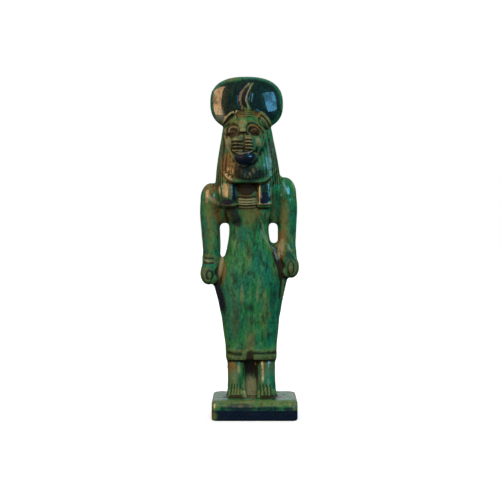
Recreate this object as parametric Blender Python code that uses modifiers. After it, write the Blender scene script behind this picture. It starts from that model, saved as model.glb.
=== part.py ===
"""Glazed statuette of a lion-headed goddess with a disc and an upright cobra, standing on a low plinth."""

import math

import bmesh
import bpy
import numpy as np
from mathutils import Euler, Matrix, Vector

# Real sizes, in metres
FIGURE_HEIGHT = 0.1695  # soles to the top of the disc
PLINTH_WIDTH = 0.0446
PLINTH_DEPTH = 0.0380
PLINTH_HEIGHT = 0.0105
PLINTH_FRONT_ROUND = 0.0042  # the soft front edge of the plinth's top
PLINTH_CORNER_ROUND = 0.0026  # its upright corners
PLINTH_TOP_ROUND = 0.0014  # its other top edges
PLINTH_FOOT_ROUND = 0.0008  # its lower edges
STANCE_LEFT = 0.0013  # the feet stand this far left of the plinth's middle
STANCE_BACK = 0.0010  # and this far behind it

# The figure is carved in units: its height is UNITS_TALL of them, so one is about a millimetre.
# Places in it are (right, back, up) from the point between the soles, seen from the front.
UNITS_TALL = 169.5
UNIT = FIGURE_HEIGHT / UNITS_TALL
LEAN = -0.0185  # sideways for each unit of height: the figure leans a little to its right
FACE_TURN = math.radians(-8)  # the face looks a little to its right
SINK = 1.0  # how far a form that meets another runs into it

DISC_CENTRE = (0.0, 2.0, 155.2)
DISC_RADII = (19.4, 5.6, 14.3)
DISC_SQUARENESS = 2.5

CHIN_HEIGHT = 125.0  # the whole face is placed from here
MUZZLE_SQUARENESS = 3.0
MUZZLE_BACK = -8.0
LIP_CLEFT = 1.0  # how deep the cleft between the whisker pads is
WHISKER_ROWS = 4
EYE_APART = 5.7
EYE_ABOVE_CHIN = 13.6
SHOULDER_APART = 20.8
FIST_APART = 22.1
FIST_HEIGHT = 68.6
RIGHT_ARM_DROP = 3.6  # the arm at the viewer's left hangs this much lower
RIGHT_SHOULDER_DROP = 3.1
RIGHT_WEB_TOP = 73.4
LEFT_WEB_TOP = 81.0
ARMPIT_HEIGHT = 91.8
LAPPET_FOOT = 101.2
LAPPET_MIDDLES = (-10.2, 8.4)
LAPPET_HALF_WIDTH = 4.0
SOFT_SQUARENESS = 2.4  # of the body's and the ruff's cross sections: 2 is an ellipse
RUFF_BACK = 4.0
HEM_HEIGHT = 19.6
CREASE_DEPTH = 2.4  # the fold between the legs, at the hem
CREASE_WIDTH = 2.0
CREASE_TOP = 46.0
WIG_LOCKS = 36
PILLAR_HALF_WIDTH = 7.0
PILLAR_BACK = 14.0
PILLAR_TOP = 121.0

# How finely the joined forms are meshed
VOXEL = 0.00045
SMOOTHING_ROUNDS = 1
TRIANGLES = 9700


def clear_scene():
    for old in list(bpy.data.objects):
        bpy.data.objects.remove(old, do_unlink=True)


def smooth_line(points, count):
    """A smooth curve through the points, read at evenly spread places, as an array."""
    points = np.array(points, float)
    ends = np.vstack([2 * points[0] - points[1], points, 2 * points[-1] - points[-2]])
    at = np.linspace(0, len(points) - 1, count)
    piece = np.minimum(at.astype(int), len(points) - 2)
    t = (at - piece)[:, None]
    a, b, c, d = (ends[piece + k] for k in range(4))
    bend = (2 * a - 5 * b + 4 * c - d) * t**2
    twist = (3 * b - a - 3 * c + d) * t**3
    return b + 0.5 * ((c - a) * t + bend + twist)


def ellipsoid(centre, radii, tilt=(0, 0, 0), segments=24):
    """A ball stretched to three radii, tilted by three angles in degrees."""
    form = bmesh.new()
    bmesh.ops.create_uvsphere(form, u_segments=segments, v_segments=segments // 2, radius=1)
    turn = Euler([math.radians(angle) for angle in tilt]).to_matrix().to_4x4()
    place = Matrix.Translation(centre) @ turn @ Matrix.Diagonal((*radii, 1))
    bmesh.ops.transform(form, matrix=place, verts=form.verts)
    return as_mesh(form)


def as_mesh(form):
    bmesh.ops.recalc_face_normals(form, faces=form.faces)
    mesh = bpy.data.meshes.new("form")
    form.to_mesh(mesh)
    form.free()
    return mesh


def loft(stations, rings=40, sides=40, squareness=SOFT_SQUARENESS, locks=0, lock_depth=0.0):
    """An upright body through stations of (height, middle, half width, front, back), with locks down it."""
    angles = np.linspace(0, 2 * math.pi, sides, endpoint=False)
    swell = 1 + lock_depth * np.cos(locks * angles)
    across = np.sign(np.cos(angles)) * np.abs(np.cos(angles)) ** (2 / squareness) * swell
    along = np.sign(np.sin(angles)) * np.abs(np.sin(angles)) ** (2 / squareness) * swell
    form = bmesh.new()
    loops = []
    for height, middle, half_width, front, back in smooth_line(stations, rings):
        centre, deep = (front + back) / 2, (back - front) / 2
        spots = np.column_stack([middle + half_width * across, centre + deep * along])
        ring = [form.verts.new((x, y, height)) for x, y in spots]
        edges = [form.edges.new((ring[i - 1], ring[i])) for i in range(sides)]
        if loops:
            bmesh.ops.bridge_loops(form, edges=last_edges + edges)
        loops.append(ring)
        last_edges = edges
    form.faces.new(loops[0])
    form.faces.new(loops[-1])
    return as_mesh(form)


def limb(path, radii, count=24):
    """A round limb along a path, with a radius at each of its points."""
    centres = smooth_line(path, count)
    widths = smooth_line([[radius] for radius in radii], count)
    curve = bpy.data.curves.new("limb", "CURVE")
    curve.dimensions = "3D"
    curve.bevel_depth = 1.0
    curve.bevel_resolution = 4
    curve.use_fill_caps = True
    spline = curve.splines.new("POLY")
    spline.points.add(count - 1)
    for point, centre, width in zip(spline.points, centres, widths):
        point.co = (*centre, 1)
        point.radius = width[0]
    carrier = bpy.data.objects.new("limb", curve)
    bpy.context.collection.objects.link(carrier)
    mesh = evaluated_mesh(carrier)
    bpy.data.objects.remove(carrier)
    bpy.data.curves.remove(curve)
    form = bmesh.new()
    form.from_mesh(mesh)
    bpy.data.meshes.remove(mesh)
    bmesh.ops.remove_doubles(form, verts=form.verts, dist=0.001)
    return as_mesh(form)


def bead(path, radius, count=16):
    """A raised line of even thickness with rounded ends."""
    return limb(path, [radius * 0.3] + [radius] * (len(path) - 2) + [radius * 0.3], count)


def mirrored(centre):
    return (-centre[0], *centre[1:])


def both_sides(make, centre, *sizes):
    return [make(centre, *sizes), make(mirrored(centre), *sizes)]


def disc():
    """A thick lens on a squarish oval outline."""
    form = bmesh.new()
    facing = Matrix.Rotation(math.pi / 2, 4, "X")
    bmesh.ops.create_uvsphere(form, u_segments=48, v_segments=24, radius=1, matrix=facing)
    for vertex in form.verts:
        x, y, z = vertex.co
        reach = math.hypot(x, z)
        if reach > 1e-6:
            corner = (abs(x) ** DISC_SQUARENESS + abs(z) ** DISC_SQUARENESS) ** (1 / DISC_SQUARENESS)
            x, z = x * reach / corner, z * reach / corner
        vertex.co = Vector((x, y, z)) * Vector(DISC_RADII) + Vector(DISC_CENTRE)
    return [as_mesh(form)]


def cobra():
    """The cobra that rises in front of the disc: a ribbed coil, then a pointed hood of two lobes."""
    coil = [ellipsoid((0.4, -10.7 + 1.05 * row, 147.0 + 1.45 * row), (2.0, 2.1, 0.95)) for row in range(4)]
    outer = [(-1.2, -5.8, 151.6), (-2.2, -6.0, 156), (-1.0, -5.2, 160), (1.6, -3.8, 164.2)]
    inner = [(0.8, -6.0, 151.6), (0.6, -6.8, 156), (1.5, -5.6, 160.5), (2.7, -3.6, 165.2)]
    lobes = [limb(outer, [0.7, 1.3, 1.0, 0.4]), limb(inner, [0.8, 1.4, 1.1, 0.4])]
    back = ellipsoid((0.2, -3.8, 157), (2.6, 2.2, 7), (0, 10, 0))
    return coil + lobes + [back]


def wig():
    """The heavy hair that falls behind the shoulders, and its two front ends on the chest."""
    fall = loft(
        [
            (106, 0, 16.6, -3.0, 12.0),
            (113, 0, 17.0, -6.0, 12.2),
            (120, 0, 16.4, -7.5, 12.2),
            (128, 0, 15.2, -7.5, 12.0),
            (136, 0, 13.7, -7.0, 11.4),
            (142, 0, 12.6, -6.5, 10.2),
            (147, 0, 10.6, -5.5, 8.6),
            (151, 0, 6.5, -3.5, 6.5),
        ],
        sides=216,
        squareness=2.6,
        locks=WIG_LOCKS,
        lock_depth=0.022,
    )
    forms = [fall]
    for middle in LAPPET_MIDDLES:
        stations = [
            (LAPPET_FOOT, middle, LAPPET_HALF_WIDTH - 0.1, -11.2, -5),
            (LAPPET_FOOT + 6, middle, LAPPET_HALF_WIDTH, -11.6, -4),
            (114, middle * 1.02, LAPPET_HALF_WIDTH + 0.1, -11.6, -3),
            (122, middle * 1.02, LAPPET_HALF_WIDTH, -9.5, -2),
        ]
        forms.append(loft(stations, rings=10, sides=28, squareness=4.5))
        end_half = LAPPET_HALF_WIDTH - 0.5
        low, high = LAPPET_FOOT - 1.4, LAPPET_FOOT + SINK
        end = [(low, middle, end_half, -10.2, -5), (high, middle, end_half, -10.4, -5)]
        forms.append(loft(end, rings=2, sides=28, squareness=4.5))
    return forms


RUFF = [
    (112.4, 0, 12.4, -12.6, RUFF_BACK),
    (114, 0, 13.4, -13.4, RUFF_BACK),
    (120, 0, 13.9, -13.9, RUFF_BACK),
    (127, 0, 13.5, -13.0, RUFF_BACK),
    (134, 0, 12.5, -11.4, RUFF_BACK),
    (141, 0, 11.4, -9.8, RUFF_BACK),
    (147, 0, 9.4, -7.6, RUFF_BACK),
    (150.5, 0, 5.5, -5.0, RUFF_BACK - 1),
]


def ruff_point(side, height, proud=0.0):
    """A point on the ruff's front, at a share of its half width from the middle."""
    heights = [station[0] for station in RUFF]
    half_width = np.interp(height, heights, [station[2] for station in RUFF]) + proud
    front = np.interp(height, heights, [station[3] for station in RUFF]) - proud
    middle, deep = (front + RUFF_BACK) / 2, (RUFF_BACK - front) / 2
    reach = deep * (1 - abs(side) ** SOFT_SQUARENESS) ** (1 / SOFT_SQUARENESS)
    return (half_width * side, middle - reach, height)


def mane():
    """The ruff round the face: a full body, its rolled rim, and locks that run down to the rim."""
    down = [ruff_point(-0.985, height, 0.1) for height in (142, 136, 130, 124)]
    along = [ruff_point(side, 113.6 + 5.0 * abs(side) ** 8, 0.1) for side in np.linspace(-0.97, 0.97, 17)]
    up = [mirrored(point) for point in reversed(down)]
    rim = down + along + up
    forms = [loft(RUFF), limb(rim, [0.95] * len(rim), 64)]
    for side in np.linspace(-0.9, 0.9, 15):
        top = 116.5 + 23 * abs(side) ** 1.3
        foot = 114.2 + 5.0 * abs(side) ** 6
        path = []
        for share in np.linspace(0, 1, 6):
            path.append(ruff_point(side * (0.86 + 0.14 * share), top + (foot - top) * share, 0.15))
        forms.append(limb(path, [0.3, 0.75, 0.9, 0.9, 0.8, 0.4], 14))
    return forms


# The face's own heights are above the middle of the chin
MUZZLE = [
    (2.9, 0, 4.6, -14.6, MUZZLE_BACK),
    (4.0, 0, 6.0, -17.0, MUZZLE_BACK),
    (6.4, 0, 6.6, -18.2, MUZZLE_BACK),
    (9.2, 0, 6.2, -18.2, MUZZLE_BACK),
    (11.4, 0, 4.8, -17.2, MUZZLE_BACK),
    (13.6, 0, 3.2, -15.4, MUZZLE_BACK),
]


def muzzle_point(across, height, proud=0.0):
    """A point on the muzzle's front, that far across and up."""
    heights = [station[0] for station in MUZZLE]
    half_width = np.interp(height, heights, [station[2] for station in MUZZLE])
    front = np.interp(height, heights, [station[3] for station in MUZZLE])
    deep = (MUZZLE_BACK - front) / 2
    share = min(abs(across) / half_width, 0.999)
    reach = deep * (1 - share**MUZZLE_SQUARENESS) ** (1 / MUZZLE_SQUARENESS)
    return (across, front + deep - reach - proud, height)


def muzzle():
    """A boxy muzzle with a flat nose, whisker ridges on both pads and the rounded chin below."""
    forms = [
        pressed(loft(MUZZLE, rings=20, sides=80, squareness=MUZZLE_SQUARENESS), LIP_CLEFT, 0.9, 9, 12),
        ellipsoid((0, -12.8, 0), (5.9, 4.9, 4.4)),
        limb([(0, -10.6, 21.4), (0, -14.2, 16.6), (0, -17.6, 13.0)], [4.0, 2.6, 2.3]),
        ellipsoid((0, -17.9, 12.4), (2.9, 2.1, 1.3)),
    ]
    for side in (-1, 1):
        for row in range(WHISKER_ROWS):
            height = 9.3 - 1.65 * row + 0.35 * side
            line = [muzzle_point(side * across, height, 0.05) for across in (1.0, 2.4, 3.8, 5.0, 5.9)]
            forms.append(bead(line, 0.62, 14))
    return forms


def eye(side):
    """A ball in a ring of lid, under a brow that arches from the nose to the temple."""
    middle = np.array((side * EYE_APART, -12.4, EYE_ABOVE_CHIN))
    forms = [ellipsoid(middle, (2.1, 1.8, 1.45), (0, side * 8, 0))]
    lid = []
    for angle in np.linspace(0, 2 * math.pi, 17):
        across, up = math.cos(angle), math.sin(angle)
        lid.append(middle + (3.2 * across, 0.5 * abs(across) - 0.2, 2.2 * up - side * 0.5 * across))
    forms.append(limb(lid, [0.62] * len(lid), 32))
    brow = []
    for angle in np.linspace(0.05, math.pi - 0.05, 9):
        across, up = math.cos(angle), math.sin(angle)
        brow.append(middle + (4.9 * across, 1.1 * abs(across) + 0.1, 4.5 * up - side * 0.7 * across - 0.6))
    forms.append(bead(brow, 0.7, 28))
    return forms


def face():
    """The lioness's face: a domed brow, cheeks edged by a jaw line, the eyes and the muzzle."""
    forms = [ellipsoid((0, -7.0, 10.0), (10.2, 7.3, 12.8)), ellipsoid((0, -7.2, 18.0), (8.8, 6.6, 6.2))]
    jaw = []
    for angle in np.linspace(-0.25, math.pi + 0.25, 15):
        down = math.sin(angle)
        jaw.append((10.6 * math.cos(angle) * (1 - 0.36 * down), -9.2 - 5.6 * down**2, 11.0 - 14.8 * down))
    forms.append(bead(jaw, 1.1, 40))
    return turned(forms + muzzle() + eye(-1) + eye(1))


def turned(forms):
    """The face's forms, turned a little to one side and lifted to their place on the head."""
    place = Matrix.Translation((0, 0, CHIN_HEIGHT)) @ Matrix.Rotation(FACE_TURN, 4, "Z")
    for mesh in forms:
        mesh.transform(place)
    return forms


def ears():
    """Leaf-shaped ears laid slantwise on the corners of the crown, each with a rolled rim."""
    forms = []
    for side in (-1, 1):
        outline = [(12.6, -5.8, 142.2), (11.4, -7.6, 145.8), (9.2, -8.0, 149.0), (7.0, -6.8, 150.8)]
        outline += [(5.8, -8.0, 148.8), (5.6, -9.2, 146.4), (6.6, -10.0, 144.0)]
        rim = [(side * x, y, z) for x, y, z in outline]
        forms.append(bead(rim, 0.8, 36))
        forms.append(ellipsoid((side * 9.0, -4.6, 146.0), (2.8, 2.4, 5.0), (0, -side * 38, 0)))
    return forms


def collar():
    """Rows of a broad collar that show between the wig's two front ends."""
    forms = [ellipsoid((-1.0, -3.0, 109), (8, 6, 6))]
    for row in range(4):
        line = []
        for x in np.linspace(-6, 6, 7):
            line.append((x - 1.0, -9.4 + 0.25 * row + 0.02 * x**2, 101.4 + 2.0 * row + 0.012 * x**2))
        forms.append(bead(line, 0.8, 16))
    return forms


def pressed(mesh, depth, width, foot, top):
    """The mesh with an upright fold pressed into its front, which fades from its foot to its top."""
    for vertex in mesh.vertices:
        x, y, z = vertex.co
        if y < 0:
            fade = min(max((top - z) / (top - foot), 0), 1)
            vertex.co.y += depth * fade**1.5 * math.exp(-((x / width) ** 2))
    return mesh


def creased(mesh):
    """The mesh with the fold of cloth between the legs."""
    return pressed(mesh, CREASE_DEPTH, CREASE_WIDTH, HEM_HEIGHT, CREASE_TOP)


def body():
    """The torso and the close dress, from the shoulders to the hem, and the yoke that carries the arms."""
    trunk = loft(
        [
            (HEM_HEIGHT, 0, 13.0, -7.6, 8.6),
            (29, 0, 13.9, -8.0, 9.0),
            (37, 0, 14.9, -8.4, 9.4),
            (46, 0, 15.6, -8.9, 10.0),
            (57, 0, 16.4, -9.6, 10.8),
            (66, 0, 15.7, -9.6, 10.8),
            (76, 0, 12.6, -8.3, 9.6),
            (85, 0, 10.7, -7.1, 8.2),
            (91, 0, 10.6, -7.0, 8.2),
            (96, 0, 11.6, -7.4, 8.4),
            (102, 0, 13.7, -8.2, 9.0),
            (109, 0, 15.8, -7.6, 9.2),
            (115, 0, 13.0, -6.0, 8.6),
            (119, 0, 9.0, -4.5, 7.5),
        ],
        rings=72,
        sides=72,
    )
    yoke = loft(
        [
            (ARMPIT_HEIGHT, 0, 16.8, -0.8, 7.6),
            (95, 0, 18.0, -1.4, 8.0),
            (103, 0, 20.0, -3.4, 8.2),
            (109, 0.9, 20.6, -4.4, 8.0),
            (113, 1.4, 19.0, -4.0, 7.6),
            (117, 1.6, 15.6, -3.0, 6.8),
            (120, 1.2, 9.0, -1.0, 6.0),
        ],
        squareness=2.8,
    )
    bust = both_sides(ellipsoid, (6.2, -4.5, 97.4), (5.4, 3.1, 6.2))
    thighs = both_sides(ellipsoid, (6.2, -2.6, 50.0), (6.6, 6.6, 30.0))
    return [creased(trunk), yoke, *bust, *thighs]


def hem():
    """Two raised bands round the foot of the dress."""
    forms = []
    for low, high in ((HEM_HEIGHT, HEM_HEIGHT + 3.2), (HEM_HEIGHT + 4.2, HEM_HEIGHT + 5.4)):
        stations = [(low, 0, 13.5, -8.5, 9.0), (high, 0, 13.7, -8.6, 9.0)]
        forms.append(creased(loft(stations, rings=2, sides=96, squareness=2.7)))
    return forms


def arm(side, drop, shoulder_drop):
    """An arm that hangs straight down, its shoulder cap and a bracelet of two rings."""
    path = [
        (side * (SHOULDER_APART - 0.4), 1.6, 108 - shoulder_drop),
        (side * SHOULDER_APART, 1.8, 100 - shoulder_drop),
        (side * (SHOULDER_APART - 0.5), 1.6, 90 - drop),
        (side * (SHOULDER_APART - 0.8), 0.8, 80 - drop),
        (side * (FIST_APART - 1.2), -0.6, FIST_HEIGHT + 2.4 - drop),
    ]
    forms = [limb(path, [5.0, 5.1, 5.0, 4.7, 4.4], 30)]
    forms.append(ellipsoid((side * (SHOULDER_APART - 1.3), 1.6, 107.5 - shoulder_drop), (6.0, 5.5, 8.6)))
    for height in (FIST_HEIGHT + 8.4, FIST_HEIGHT + 6.0):
        ring = []
        for angle in np.linspace(0, 2 * math.pi, 17):
            across, back = math.cos(angle), math.sin(angle)
            ring.append((side * (FIST_APART - 1.9) + 4.5 * across, 0.3 + 4.5 * back, height - drop))
        forms.append(limb(ring, [0.65] * len(ring), 32))
    return forms


def fist(side, drop):
    """A closed hand: the palm's block, four curled fingers on its inner side and the thumb in front."""
    height = FIST_HEIGHT - drop
    forms = [ellipsoid((side * FIST_APART, -1.2, height), (4.2, 5.4, 6.0))]
    for finger in range(4):
        back = -3.9 + 2.3 * finger
        forms.append(ellipsoid((side * (FIST_APART - 1.6), back, height - 3.0), (3.4, 1.25, 2.9)))
    thumb = []
    for angle in np.linspace(0, 2 * math.pi, 13):
        thumb.append((side * FIST_APART + 1.9 * math.cos(angle), -6.1, height - 0.6 + 3.5 * math.sin(angle)))
    forms.append(limb(thumb, [0.8] * len(thumb), 24))
    forms.append(ellipsoid((side * FIST_APART, -5.9, height - 0.6), (0.9, 1.1, 2.3)))
    return forms


def web(side, top):
    """The thin wall that joins the forearm and the fist to the hip, down to a point on the thigh."""
    stations = [
        (36, side * 9.4, 4.4, -3.4, 7.4),
        (44, side * 11.0, 4.9, -4.0, 7.5),
        (50, side * 11.7, 5.3, -3.6, 7.5),
        (57, side * 13.1, 5.6, -3.0, 7.0),
        (65, side * 15.0, 5.0, -2.6, 6.5),
        (top, side * 15.4, 3.4, -1.0, 5.0),
    ]
    return loft(stations, rings=20, sides=24, squareness=3.2)


def arms():
    """Both arms, with the web to the hip reaching higher at the viewer's right."""
    forms = []
    for side, drop, shoulder_drop, web_top in (
        (-1, RIGHT_ARM_DROP, RIGHT_SHOULDER_DROP, RIGHT_WEB_TOP),
        (1, 0, 0, LEFT_WEB_TOP),
    ):
        forms += arm(side, drop, shoulder_drop) + fist(side, drop) + [web(side, web_top)]
    return forms


def feet():
    """Bare ankles and feet side by side, the left one a little forward, each with five toes."""
    forms = []
    for middle, forward in ((-8.0, 0.0), (7.8, 2.0)):
        inner = -1 if middle > 0 else 1
        shin = [
            (middle, -1.2, HEM_HEIGHT + 3),
            (middle, -1.4 - forward * 0.4, 10),
            (middle, -1.0 - forward, -SINK),
        ]
        forms.append(limb(shin, [4.9, 4.7, 5.2], 24))
        forms.append(ellipsoid((middle, -2.2 - forward, 1.8), (5.3, 6.4, 4.8)))
        for toe in range(5):
            x = middle + inner * (3.9 - 1.95 * toe)
            radius = 1.4 if toe == 0 else 1.15 - 0.06 * toe
            forms.append(ellipsoid((x, -7.0 - forward + 0.35 * toe, 1.9), (radius, 2.5, 2.4)))
    return forms


def back_pillar():
    """The plain upright slab behind the figure, from the plinth to the wig."""
    stations = [
        (-SINK, 0, PILLAR_HALF_WIDTH + 0.6, 1.0, PILLAR_BACK),
        (HEM_HEIGHT + 6, 0, PILLAR_HALF_WIDTH + 0.4, 1.6, PILLAR_BACK),
        (60, 0, PILLAR_HALF_WIDTH, 5.0, PILLAR_BACK),
        (PILLAR_TOP, 0, PILLAR_HALF_WIDTH - 0.6, 5.0, PILLAR_BACK),
    ]
    return [loft(stations, rings=8, sides=32, squareness=9)]


def plinth():
    """A low block with soft edges, roundest along the front of its top, in metres."""
    form = bmesh.new()
    bmesh.ops.create_cube(form, size=1)
    size = (PLINTH_WIDTH, PLINTH_DEPTH, PLINTH_HEIGHT + VOXEL / 2)
    bmesh.ops.scale(form, vec=size, verts=form.verts)
    bmesh.ops.translate(form, vec=(0, 0, PLINTH_HEIGHT - size[2] / 2), verts=form.verts)
    weights = form.edges.layers.float.new("bevel_weight_edge")
    for edge in form.edges:
        ends = [vertex.co for vertex in edge.verts]
        upright = abs(ends[0].z - ends[1].z) > PLINTH_HEIGHT / 2
        on_top = ends[0].z > PLINTH_HEIGHT / 2
        in_front = ends[0].y < 0 and ends[1].y < 0
        rounding = PLINTH_CORNER_ROUND if upright else PLINTH_FOOT_ROUND
        if on_top and not upright:
            rounding = PLINTH_FRONT_ROUND if in_front else PLINTH_TOP_ROUND
        edge[weights] = rounding / max(PLINTH_FRONT_ROUND, PLINTH_CORNER_ROUND)
    mesh = as_mesh(form)
    block = bpy.data.objects.new("block", mesh)
    bpy.context.collection.objects.link(block)
    soften = block.modifiers.new("soften", "BEVEL")
    soften.limit_method = "WEIGHT"
    soften.width = max(PLINTH_FRONT_ROUND, PLINTH_CORNER_ROUND)
    soften.segments = 5
    softened = evaluated_mesh(block)
    bpy.data.objects.remove(block)
    return softened


def evaluated_mesh(carrier):
    bpy.context.view_layer.update()
    return bpy.data.meshes.new_from_object(carrier.evaluated_get(bpy.context.evaluated_depsgraph_get()))


def figure_forms():
    """Every form of the figure, carried from carving units to its place on the plinth."""
    forms = disc() + cobra() + wig() + mane() + face() + ears() + collar()
    forms += body() + hem() + arms() + feet() + back_pillar()
    lean = Matrix.Identity(4)
    lean[0][2] = LEAN
    place = Matrix.Translation((-STANCE_LEFT, STANCE_BACK, PLINTH_HEIGHT)) @ Matrix.Scale(UNIT, 4) @ lean
    for mesh in forms:
        mesh.transform(place)
    return forms


def glaze():
    material = bpy.data.materials.new("green_glaze")
    material.use_nodes = True
    shader = material.node_tree.nodes["Principled BSDF"]
    shader.inputs["Base Color"].default_value = (0.03, 0.16, 0.09, 1)
    shader.inputs["Roughness"].default_value = 0.12
    shader.inputs["Metallic"].default_value = 0.0
    return material


def statuette():
    """All the forms fused into one skin, thinned to a workable mesh and cut flat underneath."""
    joined = bmesh.new()
    for mesh in figure_forms() + [plinth()]:
        joined.from_mesh(mesh)
        bpy.data.meshes.remove(mesh)
    skin = bpy.data.meshes.new("lion_headed_figure")
    joined.to_mesh(skin)
    joined.free()
    figure = bpy.data.objects.new("lion_headed_figure", skin)
    home = bpy.data.collections.new("lion_headed_statuette")
    bpy.context.scene.collection.children.link(home)
    home.objects.link(figure)

    fuse = figure.modifiers.new("fuse", "REMESH")
    fuse.mode = "VOXEL"
    fuse.voxel_size = VOXEL
    fuse.adaptivity = 0
    ease = figure.modifiers.new("ease", "SMOOTH")
    ease.factor = 0.5
    ease.iterations = SMOOTHING_ROUNDS
    bpy.context.view_layer.update()
    fine = figure.evaluated_get(bpy.context.evaluated_depsgraph_get()).to_mesh()
    fine.calc_loop_triangles()
    thin = figure.modifiers.new("thin", "DECIMATE")
    thin.ratio = min(1.0, TRIANGLES / len(fine.loop_triangles))
    figure.data.materials.append(glaze())

    cutters = bpy.data.collections.new("cutters")
    bpy.context.scene.collection.children.link(cutters)
    ground = bmesh.new()
    bmesh.ops.create_cube(ground, size=4 * max(PLINTH_WIDTH, PLINTH_DEPTH))
    bmesh.ops.translate(ground, vec=(0, 0, -2 * max(PLINTH_WIDTH, PLINTH_DEPTH)), verts=ground.verts)
    block = bpy.data.objects.new("ground_block", as_mesh(ground))
    cutters.objects.link(block)
    block.hide_render = True
    block.display_type = "WIRE"
    level = figure.modifiers.new("level", "BOOLEAN")
    level.operation = "DIFFERENCE"
    level.object = block
    return figure


clear_scene()
statuette()
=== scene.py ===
import math

import bpy
import numpy as np
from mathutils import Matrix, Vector


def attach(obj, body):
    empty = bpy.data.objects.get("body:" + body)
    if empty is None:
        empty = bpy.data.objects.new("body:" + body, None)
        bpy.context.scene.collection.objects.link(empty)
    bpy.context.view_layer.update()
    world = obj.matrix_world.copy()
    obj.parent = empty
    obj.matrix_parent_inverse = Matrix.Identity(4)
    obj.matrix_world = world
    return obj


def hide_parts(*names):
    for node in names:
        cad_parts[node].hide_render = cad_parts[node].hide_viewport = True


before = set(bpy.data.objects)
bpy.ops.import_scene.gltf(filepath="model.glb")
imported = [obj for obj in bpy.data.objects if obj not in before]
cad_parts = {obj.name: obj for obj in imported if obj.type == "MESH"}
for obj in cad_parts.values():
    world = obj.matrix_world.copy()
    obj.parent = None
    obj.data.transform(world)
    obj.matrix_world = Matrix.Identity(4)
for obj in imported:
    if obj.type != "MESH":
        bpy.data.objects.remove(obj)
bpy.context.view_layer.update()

# The figure is carved in units of about a millimetre: right, back and up from between its soles
figure = {
    "unit": 0.001,
    "lean": -0.0185,  # sideways for each unit of height
    "origin": (-0.0013, 0.0010, 0.0105),  # where the point between the soles stands
    "faceTurn": -8,  # degrees
    "chinHeight": 125.0,
    "softSquareness": 2.4,  # of the body's cross sections: 2 is an ellipse
    "hemHeight": 19.6,
    "ruffBack": 4.0,
    "muzzleBack": -8.0,
    "muzzleSquareness": 3.0,
}

# The skin's fineness, how the glaze rounds it, and how widely its hollows are looked for
skin = {
    "voxel": 0.745e-3,
    "glazing": (5, 0.5, 0.16),  # rounds, and shares of the way to the neighbours' mean: hollows, edges
    "lastGlazing": (1, 0.2, 0.1),  # the same over the finished cuts
    "slide": 0.3,  # how far the glaze also evens the skin along itself
    "nearRounds": 5,
    "middlingRounds": 25,
    "wideRounds": 90,
}

# The camera stands in front of the figure; the picture is square
camera = {
    "frame": 500,  # the picture's width in its own units
    "sensor": 36,
    "focal": 1132.0,  # in picture units
    "middle": (254.5, 231.0),  # where the picture meets the axis of sight at the object's middle
    "distance": 0.600,
    "height": 0.098,
}


def smoothLine(points, count):
    # A curve through all the points: each stretch is a cubic whose slopes come from the points around it
    points = np.array(points, float)
    ends = np.vstack([2 * points[0] - points[1], points, 2 * points[-1] - points[-2]])
    at = np.linspace(0, len(points) - 1, count)
    piece = np.minimum(at.astype(int), len(points) - 2)
    t = (at - piece)[:, None]
    a, b, c, d = (ends[piece + k] for k in range(4))
    return b + 0.5 * ((c - a) * t + (2 * a - 5 * b + 4 * c - d) * t**2 + (3 * b - a - 3 * c + d) * t**3)


def closedSkin(rows):
    # Rows of points joined into a tube, with a fan of triangles from the middle of each end row
    rings, sides = rows.shape[:2]
    points = np.vstack([rows.reshape(-1, 3), rows[0].mean(0), rows[-1].mean(0)])
    here = np.arange(rings * sides).reshape(rings, sides)
    beside = np.roll(here, -1, axis=1)
    low, lowNext, high, highNext = here[:-1], beside[:-1], here[1:], beside[1:]
    walls = np.stack([low, lowNext, highNext, low, highNext, high], -1).reshape(-1, 3)
    foot = np.stack([np.full(sides, len(points) - 2), beside[0], here[0]], -1)
    top = np.stack([np.full(sides, len(points) - 1), here[-1], beside[-1]], -1)
    return points, np.vstack([walls, foot, top])


def roundedSection(sides, squareness):
    # Cosine and sine, each raised to 2 / squareness and keeping its sign: 2 is a circle, more is squarer
    turn = np.linspace(0, 2 * math.pi, sides, endpoint=False)
    across, along = np.cos(turn), np.sin(turn)
    power = 2 / squareness
    return np.sign(across) * np.abs(across) ** power, np.sign(along) * np.abs(along) ** power


def loft(stations, rings=60, sides=96, squareness=figure["softSquareness"], locks=0, lockDepth=0.0):
    # A rounded section carried up through stations of height, middle, half width, front and back
    across, along = roundedSection(sides, squareness)
    swell = 1 + lockDepth * np.cos(locks * np.linspace(0, 2 * math.pi, sides, endpoint=False))
    height, middle, half, front, back = smoothLine(stations, rings).T[:, :, None]
    x = middle + half * across * swell
    y = (front + back) / 2 + (back - front) / 2 * along * swell
    return closedSkin(np.stack([x, y, height + 0 * x], -1))


def turnMatrix(tilt):
    # Turns about right, back and up, one after the other, in degrees
    (ca, sa), (cb, sb), (cc, sc) = ((math.cos(math.radians(t)), math.sin(math.radians(t))) for t in tilt)
    aboutX = np.array([[1, 0, 0], [0, ca, -sa], [0, sa, ca]])
    aboutY = np.array([[cb, 0, sb], [0, 1, 0], [-sb, 0, cb]])
    aboutZ = np.array([[cc, -sc, 0], [sc, cc, 0], [0, 0, 1]])
    return aboutZ @ aboutY @ aboutX


def ball(centre, radii, tilt=(0, 0, 0), rings=22, sides=40):
    # A sphere by latitude and longitude, stretched to three radii, tilted and moved
    latitude = np.linspace(-1.5, 1.5, rings)[:, None]
    longitude = np.linspace(0, 2 * math.pi, sides, endpoint=False)
    rows = np.stack([
        np.cos(latitude) * np.cos(longitude),
        np.cos(latitude) * np.sin(longitude),
        np.sin(latitude) + 0 * longitude,
    ], -1)
    points, faces = closedSkin(rows)
    points[-2:] = [[0, 0, -1], [0, 0, 1]]
    return (points * radii) @ turnMatrix(tilt).T + centre, faces


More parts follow.
